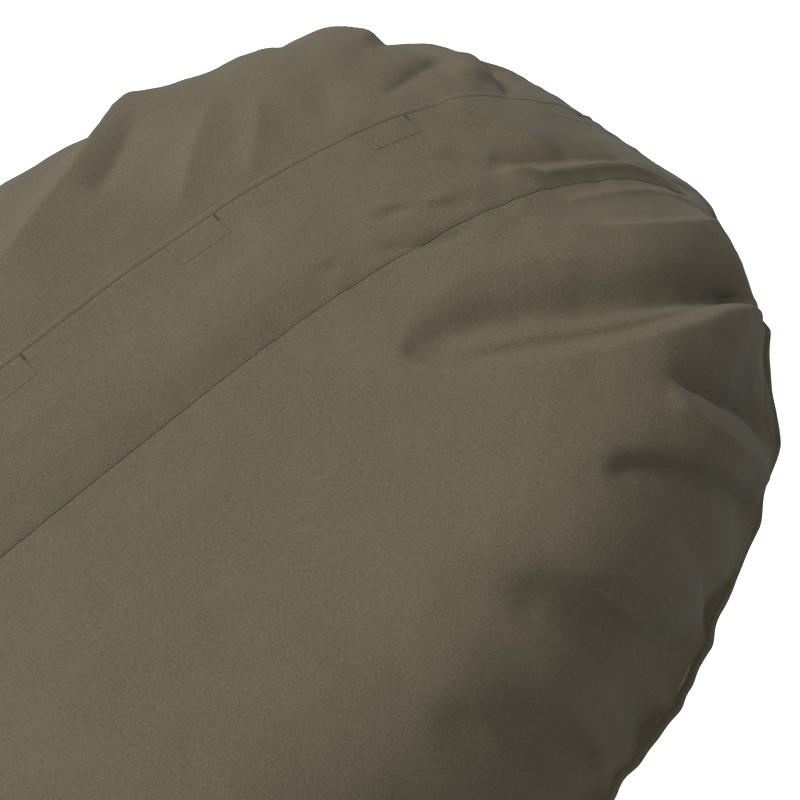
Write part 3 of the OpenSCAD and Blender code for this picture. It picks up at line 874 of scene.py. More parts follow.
@dataclass
class Panels:
    """The two top panels and the floor panel."""

    surface: ClothSurface
    wardrobe: Wardrobe
    zip_ends: tuple[float, float]
    slot_half: float = 0.008
    rows: int = 170
    turn_in: float = 0.006

    def stations(self, middle: float, back: float, turn: float) -> Array:
        """Stations along the sack, closer together toward the visible head end."""
        form = self.surface.form
        head = np.arange(0.0, 90.0, turn)
        foot = np.arange(90.0, 0.0, -turn * 4.2)
        return np.concatenate(
            [
                form.foot_x0 - form.foot_round * np.sin(np.radians(foot)),
                np.arange(form.foot_x0, 0.2, back),
                np.arange(0.2, form.head_x0, middle),
                form.head_x0 + form.head_round * np.sin(np.radians(head)),
                [form.head_end - 1e-7],
            ]
        )

    def join(self, x: Array, side: int) -> Array:
        """Sideways place of a top panel's edge along the zip and the seam beyond it."""
        form = self.surface.form
        limit = form.half_width(x) / 2
        middle = np.clip(form.zip_line(x, self.surface.zip_y), -limit, limit)
        foot, head = self.zip_ends
        open_share = smoothstep(foot - 0.012, foot, x) * (1.0 - smoothstep(head, head + 0.012, x))
        return middle + side * (0.0001 + self.slot_half * open_share)

    def top(self, side: int) -> bpy.types.Object:
        """Makes one top panel, its edge along the zip turned under."""
        form = self.surface.form
        x = self.stations(0.0034, 0.0095, 0.34)
        rim = side * form.half_width(x)
        join = self.join(x, side)
        share = np.linspace(0.0, 1.0, 500)
        dense = rim[:, None] + (join - rim)[:, None] * (1 - np.cos(np.pi / 2 * share)) ** 1.0
        z = form.top_z(np.repeat(x, 500), dense.ravel()).reshape(dense.shape)
        steps = np.hypot(np.diff(dense, axis=1), np.diff(z, axis=1))
        run = np.concatenate([np.zeros((len(x), 1)), np.cumsum(steps, axis=1)], axis=1)
        run[:, -1] += 1e-9
        wanted = np.linspace(0.0, 1.0, self.rows)
        y = np.stack([np.interp(wanted * r[-1], r, d) for r, d in zip(run, dense)])
        arc = wanted[None] * run[:, -1:]
        turned = [(0.0004, 0.0006), (0.0002, 0.0012), (-0.001, 0.0014), (-self.turn_in, 0.0014)]
        tucks = [join - side * out for out, _ in turned]
        y = np.column_stack([y] + tucks)
        arc = np.column_stack([arc] + [arc[:, -1] + 0.001 * (k + 1) for k in range(len(turned))])
        lift = np.zeros_like(y)
        for k, (_, deep) in enumerate(turned):
            lift[:, self.rows + k] = -deep
        columns = y.shape[1]
        places, _ = self.surface.at(np.repeat(x, columns), y.ravel(), lift.ravel())
        weave = np.column_stack([np.repeat(x, columns), arc.ravel()])
        name = "far_panel_cloth" if side > 0 else "near_panel_cloth"
        faces = grid_faces(len(x), columns, turned=side > 0)
        piece = cloth_mesh(name, places, faces, weave)
        return self.wardrobe.dress(piece, "top_cloth")

    def floor(self) -> bpy.types.Object:
        """Makes the floor panel, flat on the ground and turned up to the seam."""
        form = self.surface.form
        x = self.stations(0.0060, 0.0110, 0.55)
        turn = np.linspace(-90.0, 90.0, 131)
        y = form.half_width(x)[:, None] * np.sin(np.radians(turn))[None]
        along, across = np.repeat(x, y.shape[1]), y.ravel()
        gap, out_x, out_y = form.rim(along, across)
        foot = np.column_stack([along + out_x * gap, across + out_y * gap, 0 * along])
        z = form.floor_z(gap)
        away = np.hypot(gap, form.seam_h - z)
        hold = self.surface.seam_hold(away)
        ripple = 0.5 + 0.5 * cloth_noise(foot, 0.055, 21)
        raised = 0.006 * ripple * smoothstep(0.0, 0.02, away) * (1 - smoothstep(0.07, 0.13, gap))
        lying = np.maximum(0.0, cloth_noise(np.column_stack([along, across, z]), 0.12, 22))
        z = z + raised + 0.0018 * lying * smoothstep(0.08, 0.16, gap) + 0.0004
        places = np.column_stack([along, across, z]) + self.surface.rim_shift(foot) * hold[:, None]
        weave = np.column_stack([along, across])
        piece = cloth_mesh("floor_cloth_panel", places, grid_faces(len(x), y.shape[1], turned=True), weave)
        return self.wardrobe.dress(piece, "floor_cloth")

    def build(self) -> list[bpy.types.Object]:
        """Makes the three panels and ties them to the frame."""
        near, far, floor = self.top(-1), self.top(1), self.floor()
        made = [(near, "near_top_panel"), (far, "far_top_panel"), (floor, "floor_panel")]
        cuts = [((0.62, 2.45), 1.16), ((0.52, 2.45), 0.95), ((0.95, 2.25), 1.72)]
        for (piece, node), (flat, area) in zip(made, cuts):
            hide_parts(node)
            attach(piece, "sack")
        return [near, far, floor]


@dataclass
class Perimeter:
    """The seam allowance, its binding and the stitching all round."""

    surface: ClothSurface
    wardrobe: Wardrobe
    inset: float = 0.006

    def outline(self, turn: float) -> tuple[Array, Array]:
        """Places on the outline in plan, all the way round."""
        form = self.surface.form
        head = np.arange(0.0, 90.0, turn)
        foot = np.arange(90.0, 0.0, -turn * 2.0)
        x = np.concatenate(
            [
                form.foot_x0 - form.foot_round * np.sin(np.radians(foot)),
                np.arange(form.foot_x0, form.head_x0, 0.006),
                form.head_x0 + form.head_round * np.sin(np.radians(head)),
            ]
        )
        y = form.half_width(x)
        return np.concatenate([x, [form.head_end - 1e-6], x[:0:-1]]), np.concatenate([-y, [0.0], y[:0:-1]])

    def ring(self, name: str, section: Sequence[tuple[float, float]]) -> bpy.types.Object:
        """Makes a closed band of one section, given as inward distance and height."""
        x, y = self.outline(0.75)
        form = self.surface.form
        _, out_x, out_y = form.rim(x, y)
        shift = self.surface.rim_shift(np.column_stack([x, y, 0 * x]))
        rings = []
        for inward, rise in section:
            at = np.column_stack([x - out_x * inward, y - out_y * inward, 0 * x + form.seam_h + rise])
            rings.append(at + shift * self.surface.seam_hold(inward))
        places = np.stack(rings, axis=1).reshape(-1, 3)
        sides = len(section)
        run = np.concatenate([[0.0], np.cumsum(np.hypot(np.diff(x), np.diff(y)))])
        weave = np.column_stack([np.repeat(run, sides), np.tile(np.arange(sides) * 0.004, len(x))])
        piece = cloth_mesh(name, places, ring_faces(len(x), sides, closed=True), weave)
        face_outward(piece)
        return piece

    def stitches(self) -> bpy.types.Object:
        """Makes the row of stitches beside the seam, on the top side."""
        x, y = self.outline(0.3)
        _, out_x, out_y = self.surface.form.rim(x, y)
        px, py = x - out_x * self.inset, y - out_y * self.inset
        line, _ = self.surface.at(px, py, 0.0001)
        return self.wardrobe.dress(stitched("perimeter_stitches", [line], StitchKind()), "thread")

    def build(self) -> list[bpy.types.Object]:
        """Makes the ring pieces and ties them to the frame."""
        fold = [(0.0012, -0.0012), (0.004, -0.0004), (0.0100, -0.0003), (0.0100, -0.0016), (0.004, -0.0018)]
        allowance = self.wardrobe.dress(self.ring("seam_allowance_cloth", fold), "top_cloth")
        wrap = [
            (0.0076, 0.0000), (0.0115, 0.0001), (0.0118, -0.0010), (0.0115, -0.0022), (0.0076, -0.0021),
            (0.0076, -0.0018), (0.0112, -0.0018), (0.0114, -0.0010), (0.0112, -0.0003), (0.0076, -0.0003),
        ]
        binding = self.wardrobe.dress(self.ring("seam_binding_tape", wrap), "binding")
        stitches = self.stitches()
        for piece, node in ((allowance, "perimeter_seam"), (binding, "seam_binding")):
            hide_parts(node)
        for piece in (allowance, binding, stitches):
            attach(piece, "sack")
        return [allowance, binding, stitches]


@dataclass
class StormFlap:
    """The flap over the zip, with its hem, patches and stitching."""

    surface: ClothSurface
    wardrobe: Wardrobe
    root_y: float
    width: float
    ends: tuple[float, float]
    patch_heads: tuple[float, ...]
    fixed_patches: int
    hem: float = 0.007
    patch: tuple[float, float] = (0.050, 0.025)
    cloth: float = 0.0010
    hem_cloth: float = 0.0022
    joint_from: tuple[float, float, float] = (0.93, 0.0, 0.0)
    joint_to: tuple[float, float, float] = (0.50, 0.0, 0.0)

    def upper(self, x: Array, u: Array) -> Array:
        """Height of the flap's outer face above the panels, u across from its root."""
        over_sliders = np.interp(
            u,
            [0.0, 0.0006, 0.0014, 0.0020, 0.0026, 0.0045, 0.016, 0.032, 0.046, 0.070, 0.090, 0.108, 1.0],
            [0.0003, 0.0006, 0.0007, 0.0005, 0.0007, 0.0011, 0.0035]
            + [0.0061, 0.0068, 0.0066, 0.0046, 0.0032, 0.0032],
        )
        plain = np.interp(
            u,
            [0.0, 0.0006, 0.0014, 0.0020, 0.0026, 0.0045, 0.03, 1.0],
            [0.0003, 0.0006, 0.0007, 0.0005, 0.0007, 0.0011, 0.0028, 0.0030],
        )
        share = smoothstep(0.66, 0.72, x)
        lift = over_sliders + (plain - over_sliders) * share
        groove = np.exp(-(((u - (self.width - self.hem)) / 0.0007) ** 2))
        swell = np.exp(-(((u - (self.width - 0.0035)) / 0.0026) ** 2))
        return lift - 0.0006 * groove + 0.0002 * swell

    def cross_rows(self) -> Array:
        """Distances across the flap, closer together along its stitch lines."""
        hem = self.width - self.hem
        root = [0.0, 0.0006, 0.0013, 0.0020, 0.0027, 0.0045, 0.0075]
        edge = [-0.0022, -0.0011, -0.0005, 0.0, 0.0005, 0.0011, 0.0022, 0.0035, 0.0050, 0.0062, 0.0067]
        body = np.linspace(0.0108, hem - 0.0045, 34)
        return np.concatenate([root, body, hem + np.array(edge)])

    def cloth_piece(self) -> bpy.types.Object:
        """Makes the flap, its squared head end and its thick hem."""
        foot, head = self.ends
        body = np.arange(foot, 0.2, 0.0065)
        front = np.arange(0.2, head - 0.001, 0.0032)
        x = np.concatenate([body, front, [head - 0.0008, head]])
        u = self.cross_rows()
        grid_x, grid_u = np.repeat(x, len(u)), np.tile(u, len(x))
        y = self.surface.form.flap_line(grid_x, self.root_y + grid_u).reshape(len(x), len(u))
        top = self.upper(grid_x, grid_u).reshape(y.shape)
        ends = np.minimum(x - foot, head - x)[:, None]
        at_hem = smoothstep(-self.hem - 0.0004, -self.hem + 0.0006, u - self.width)[None]
        thick_share = np.maximum(at_hem, 1.0 - smoothstep(self.hem - 0.001, self.hem, ends))
        thick = self.cloth + (self.hem_cloth - self.cloth) * thick_share
        thick = np.minimum(thick, np.maximum(0.0003, top - 0.0002))
        rounded = np.clip((self.width - u) / 0.0012, 0.0, 1.0)[None] * np.clip(ends / 0.001, 0.0, 1.0)
        drop = 0.45 * thick * (1.0 - np.sqrt(1.0 - (1.0 - rounded) ** 2))
        piece = band("storm_flap_cloth", self.surface, x, y, top - drop, top - thick + drop)
        return self.wardrobe.dress(piece, "top_cloth")

    def face_line(self, points: Sequence[tuple[float, float]], step: float = 0.0015) -> Array:
        """A path on the flap's outer face through points given as x and u."""
        legs = []
        for (x0, u0), (x1, u1) in zip(points[:-1], points[1:]):
            count = max(2, int(math.hypot(x1 - x0, u1 - u0) / step))
            legs.append(np.column_stack([np.linspace(x0, x1, count), np.linspace(u0, u1, count)]))
        way = np.concatenate(legs)
        y = self.surface.form.flap_line(way[:, 0], self.root_y + way[:, 1])
        return self.surface.at(way[:, 0], y, self.upper(way[:, 0], way[:, 1]) + 0.00005)[0]

    def patch_piece(
        self, name: str, heads: Sequence[float], low: float, high: float, slot: str
    ) -> bpy.types.Object:
        """Makes a set of closing patches between two heights above the panels."""
        parts = []
        inner = self.width - self.hem - self.patch[1]
        for head in heads:
            x = np.linspace(head - self.patch[0], head, 18)
            u = np.linspace(inner, inner + self.patch[1], 10)
            y = self.surface.form.flap_line(np.repeat(x, 10), self.root_y + np.tile(u, 18)).reshape(18, 10)
            parts.append(band(name, self.surface, x, y, np.full_like(y, high), np.full_like(y, low)))
        return self.wardrobe.dress(joined(name, parts), slot)

    def stitches(self) -> bpy.types.Object:
        """Makes the hem's and the patches' stitching."""
        foot, head = self.ends
        hem = self.width - self.hem
        lines = [self.face_line([(foot + self.hem, hem), (head - self.hem, hem)])]
        lines.append(self.face_line([(head - self.hem, hem), (head - self.hem, 0.004)]))
        lines.append(self.face_line([(foot + self.hem, hem), (foot + self.hem, 0.004)]))
        for end in self.patch_heads:
            back, inner = end - self.patch[0], hem - self.patch[1]
            lines.append(self.face_line([(end, hem), (end, inner), (back, inner), (back, hem)]))
        piece = stitched("flap_stitches", lines, StitchKind(radius=0.00030))
        return self.wardrobe.dress(piece, "thread")

    def bartacks(self) -> bpy.types.Object:
        """Makes the bars of thread at the head-side corner of each patch."""
        lines = []
        hem = self.width - self.hem
        for end in self.patch_heads:
            for k in range(9):
                u = hem - 0.0075 + 0.0009 * k
                throw = self.face_line([(end - 0.0011, u), (end + 0.0011, u + 0.0003)], 0.0004)
                lines.append(throw + [0, 0, 0.0002])
        kind = StitchKind(length=0.0021, gap=0.0, radius=0.00052)
        return self.wardrobe.dress(stitched("flap_bartack_thread", lines, kind), "thread")

    def root_stitches(self) -> bpy.types.Object:
        """Makes the stitch line along the flap's sewn root."""
        foot, head = self.ends
        line = self.face_line([(foot + 0.004, 0.0020), (head - 0.004, 0.0020)])
        return self.wardrobe.dress(stitched("flap_root_stitches", [line], StitchKind()), "thread")

    def build(self) -> list[bpy.types.Object]:
        """Makes the flap's pieces, ties the hook patches and root stitches to the frame and bakes the rest in
        place.
        """
        cloth = self.cloth_piece()
        moving = self.patch_heads[self.fixed_patches :]
        fixed = self.patch_heads[: self.fixed_patches]
        loops = self.patch_piece("flap_loop_tape", self.patch_heads, 0.00125, 0.00205, "loop_tape")
        hooks = self.patch_piece("panel_hook_tape", moving, 0.0002, 0.0011, "hook_tape")
        head_hooks = self.patch_piece("head_hook_tape", fixed, 0.0002, 0.0011, "hook_tape")
        stitches, bars = self.stitches(), self.bartacks()
        root = self.root_stitches()
        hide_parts("storm_flap", "flap_hem", "flap_head_end", "flap_head_hem")
        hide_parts("flap_loop_patches", "head_loop_patches")
        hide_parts("panel_hook_patches")
        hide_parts("head_hook_patches")
        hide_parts("flap_bartacks", "head_bartacks")
        for piece in (cloth, loops, stitches, bars):
            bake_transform(piece)
        for piece in (hooks, head_hooks, root):
            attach(piece, "sack")
        return [cloth, loops, hooks, head_hooks, stitches, bars, root]


def joined(name: str, parts: Sequence[bpy.types.Object]) -> bpy.types.Object:
    """Joins meshes into the first one and names it."""
    whole = bmesh.new()
    for part in parts:
        whole.from_mesh(part.data)
    first = parts[0]
    whole.to_mesh(first.data)
    whole.free()
    for part in parts[1:]:
        spare = part.data
        bpy.data.objects.remove(part)
        bpy.data.meshes.remove(spare)
    first.name = name
    first.data.name = name
    return first


@dataclass
class Zip:
    """The tapes and the coils; the sliders and stops are the frame's own."""

    surface: ClothSurface
    wardrobe: Wardrobe
    ends: tuple[float, float]
    tape_inner: float = 0.0014
    tape_w: float = 0.0156
    under: float = 0.0024
    coil_y: float = 0.0030
    coil_r: float = 0.0016
    coil_pitch: float = 0.0027
    coil_in: float = 0.008

    def tape(self, side: int) -> bpy.types.Object:
        """Makes one tape."""
        x = np.arange(self.ends[0], self.ends[1], 0.006)
        u = np.linspace(self.tape_inner, self.tape_inner + self.tape_w, 7)
        y = self.surface.form.zip_line(np.repeat(x, 7), self.surface.zip_y + side * np.tile(u, len(x)))
        y = y.reshape(len(x), 7)
        name = "far_zip_tape_cloth" if side > 0 else "near_zip_tape_cloth"
        upper, lower = np.full_like(y, -self.under), np.full_like(y, -self.under - 0.0007)
        piece = band(name, self.surface, x, y, upper, lower)
        return self.wardrobe.dress(piece, "zip_tape")

    def coil(self, side: int) -> bpy.types.Object:
        """Makes one coil as a continuous wound filament."""
        start, end = self.ends[0] + self.coil_in, self.ends[1] - self.coil_in
        turns = (end - start) / self.coil_pitch
        per_turn, sides, wire = 8, 4, 0.00042
        phase = np.linspace(0.0, turns * math.tau, int(turns * per_turn)) + (0.0 if side > 0 else math.pi)
        x = np.linspace(start, end, len(phase))
        wide, high = self.coil_r - wire, self.coil_r - wire
        rings = []
        for k in range(sides):
            turn = k / sides * math.tau + 0.4
            reach = 1.0 + wire * math.cos(turn) / wide
            u = side * self.coil_y + np.cos(phase) * wide * reach
            lift = -self.under + self.coil_r + 0.0001 + np.sin(phase) * high * reach
            y = self.surface.form.zip_line(x, self.surface.zip_y + u)
            at, _ = self.surface.at(x, y, lift)
            at[:, 0] += wire * math.sin(turn)
            rings.append(at)
        places = np.stack(rings, axis=1).reshape(-1, 3)
        faces = ring_faces(len(phase), sides)
        last = (len(phase) - 1) * sides
        caps = np.array([[0, 1, 2, 3], [last + 3, last + 2, last + 1, last]])
        weave = np.zeros((len(places), 2))
        name = "far_coil_filament" if side > 0 else "near_coil_filament"
        piece = cloth_mesh(name, places, np.concatenate([faces, caps]), weave)
        face_outward(piece)
        return self.wardrobe.dress(piece, "zip_coil")

    def build(self) -> list[bpy.types.Object]:
        """Makes the tapes and coils and ties them to the frame."""
        made = []
        for side, word in ((-1, "near"), (1, "far")):
            tape, coil = self.tape(side), self.coil(side)
            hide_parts(f"{word}_zip_tape")
            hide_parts(f"{word}_zip_coil")
            made += [tape, coil]
        for piece in made:
            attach(piece, "sack")
        self.wardrobe.redress(
            ["zip_head_stop", "zip_foot_stop", "head_slider", "head_outer_tab", "head_inner_tab",
             "foot_slider", "foot_outer_tab", "foot_inner_tab"],
            "slider_metal",
        )
        return made


@dataclass
class SealTape:
    """The tape that seals the root seam on the inside."""

    surface: ClothSurface
    wardrobe: Wardrobe
    root_y: float
    ends: tuple[float, float]
    width: float = 0.020

    def build(self) -> bpy.types.Object:
        """Makes the tape under the flap's root."""
        x = np.arange(self.ends[0], self.ends[1], 0.006)
        u = np.linspace(-self.width / 2, self.width / 2, 7)
        y = self.surface.form.flap_line(np.repeat(x, 7), self.root_y + np.tile(u, len(x))).reshape(len(x), 7)
        upper, lower = np.full_like(y, -0.0006), np.full_like(y, -0.0010)
        piece = band("root_seal_tape_film", self.surface, x, y, upper, lower)
        self.wardrobe.dress(piece, "seal_tape")
        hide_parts("root_seal_tape")
        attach(piece, "sack")
        return piece


@dataclass
class HangLoop:
    """The webbing loop at the foot end."""

    surface: ClothSurface
    wardrobe: Wardrobe
    length: float = 0.040
    width: float = 0.016
    gap: float = 0.009
    thick: float = 0.0014

    def build(self) -> list[bpy.types.Object]:
        """Makes the loop from one folded length of webbing, with its sewn root."""
        form = self.surface.form
        radius = self.gap / 2 + self.thick / 2
        tip = -self.length + radius + self.thick / 2
        upper = [(0.006, 0.0004 + self.thick / 2), (0.0, 0.0006 + self.thick / 2), (-0.006, 0.0022)]
        turn = np.radians(np.linspace(90, 270, 15))
        bow = [(tip + radius * math.cos(t), radius * math.sin(t)) for t in turn]
        middle = [(tip * 0.5, radius * 0.92)]
        path = upper + middle + bow + [(p, -q) for p, q in (middle + upper[::-1])]
        line = spline(path, 90)
        ahead = np.gradient(line, axis=0)
        ahead /= np.linalg.norm(ahead, axis=1)[:, None]
        normal = np.column_stack([-ahead[:, 1], ahead[:, 0]])
        across = np.linspace(-0.5, 0.5, 9)
        rings = []
        for side in (1.0, -1.0):
            for v in across if side > 0 else across[::-1]:
                bulge = self.thick / 2 * (1.0 - 0.35 * abs(2 * v) ** 6)
                edge = line + normal * (side * bulge)
                rings.append(np.column_stack([edge[:, 0], np.full(len(line), v * self.width), edge[:, 1]]))
        places = np.stack(rings, axis=1).reshape(-1, 3)
        foot = np.array([[-form.foot_end, 0.0, 0.0]])
        places += np.array([-form.foot_end, 0.0, form.seam_h]) + self.surface.rim_shift(foot)[0]
        sides = len(rings)
        faces = ring_faces(len(line), sides)
        last = (len(line) - 1) * sides
        j = np.arange(len(across) - 1)
        cap = np.stack([j, j + 1, sides - 2 - j, sides - 1 - j], axis=1)
        run = np.concatenate([[0.0], np.cumsum(np.linalg.norm(np.diff(line, axis=0), axis=1))])
        round_it = np.concatenate([across, across[::-1]]) * self.width
        weave = np.column_stack([np.repeat(run, sides), np.tile(round_it, len(line))])
        closed = np.concatenate([faces, cap[:, ::-1], last + cap])
        piece = cloth_mesh("hang_loop_webbing", places, closed, weave)
        face_outward(piece)
        self.wardrobe.dress(piece, "webbing")
        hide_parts("foot_hang_loop")
        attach(piece, "sack")
        return [piece]


@dataclass
class Studio:
    """The camera, the floor and the lights."""

    azimuth: float = -42.693
    elevation: float = 63.725
    distance: float = 1.127786
    opening: float = 37.802
    target: tuple[float, float, float] = (0.689907, -0.036636, 0.120)
    air: float = 0.66

    def camera(self) -> None:
        """Places the camera over the head end."""
        turn, tilt = math.radians(self.azimuth), math.radians(self.elevation)
        back = Vector((math.sin(turn) * math.cos(tilt), -math.cos(turn) * math.cos(tilt), math.sin(tilt)))
        right = Vector((math.cos(turn), math.sin(turn), 0.0))
        up = back.cross(right)
        data = bpy.data.cameras.new("camera")
        data.sensor_width = 36.0
        data.lens = 18.0 / math.tan(math.radians(self.opening / 2))
        data.clip_start = 0.01
        data.clip_end = 50.0
        camera = bpy.data.objects.new("camera", data)
        frame_axes = Matrix((right, up, back)).transposed().to_4x4()
        frame_axes.translation = Vector(self.target) + back * self.distance
        camera.matrix_world = frame_axes
        bpy.context.scene.collection.objects.link(camera)
        bpy.context.scene.camera = camera

    def floor(self) -> None:
        """Lays a plain pale floor."""
        bpy.ops.object.select_all(action="DESELECT")
        bpy.ops.mesh.primitive_plane_add(size=30.0, location=(0.0, 0.0, -0.001))
        plane = bpy.context.object
        plane.name = "studio_floor"
        material = bpy.data.materials.new("studio_white")
        material.use_nodes = True
        shader = material.node_tree.nodes["Principled BSDF"]
        shader.inputs["Base Color"].default_value = (0.9, 0.9, 0.9, 1.0)
        shader.inputs["Roughness"].default_value = 0.9
        shader.inputs["Emission Color"].default_value = (1.0, 1.0, 1.0, 1.0)
        shader.inputs["Emission Strength"].default_value = 1.0
        plane.data.materials.append(material)
        plane.visible_diffuse = False
        plane.visible_glossy = False

    def sun(self, toward: tuple[float, float, float], power: float, spread: float) -> None:
        """Hangs one wide soft key light in the direction given."""
        data = bpy.data.lights.new("key", "SUN")
        data.energy = power
        data.angle = math.radians(spread)
        lamp = bpy.data.objects.new("key", data)
        lamp.rotation_euler = Vector(toward).to_track_quat("Z", "Y").to_euler()
        bpy.context.scene.collection.objects.link(lamp)

    def build(self) -> None:
        """Sets up the whole studio."""
        self.camera()
        self.floor()
        self.sun((-0.42, 0.82, 0.90), 3.35, 20.0)
        world = bpy.data.worlds.new("studio_air")
        world.use_nodes = True
        bench = NodeBench(world.node_tree)
        way = bench.add("ShaderNodeTexCoord").outputs["Generated"]
        height = bench.add("ShaderNodeSeparateXYZ", {0: way}).outputs[2]
        sky = bench.add("ShaderNodeMapRange", {0: height, 1: -0.1, 2: 0.5, 3: 0.40, 4: self.air}).outputs[0]
        seen = bench.add("ShaderNodeLightPath").outputs["Is Camera Ray"]
        power = bench.maths("MAXIMUM", sky, seen)
        background = world.node_tree.nodes["Background"]
        background.inputs[0].default_value = (1.0, 1.0, 1.0, 1.0)
        world.node_tree.links.new(power, background.inputs[1])
        bpy.context.scene.world = world
        bpy.context.scene.view_settings.view_transform = "Standard"


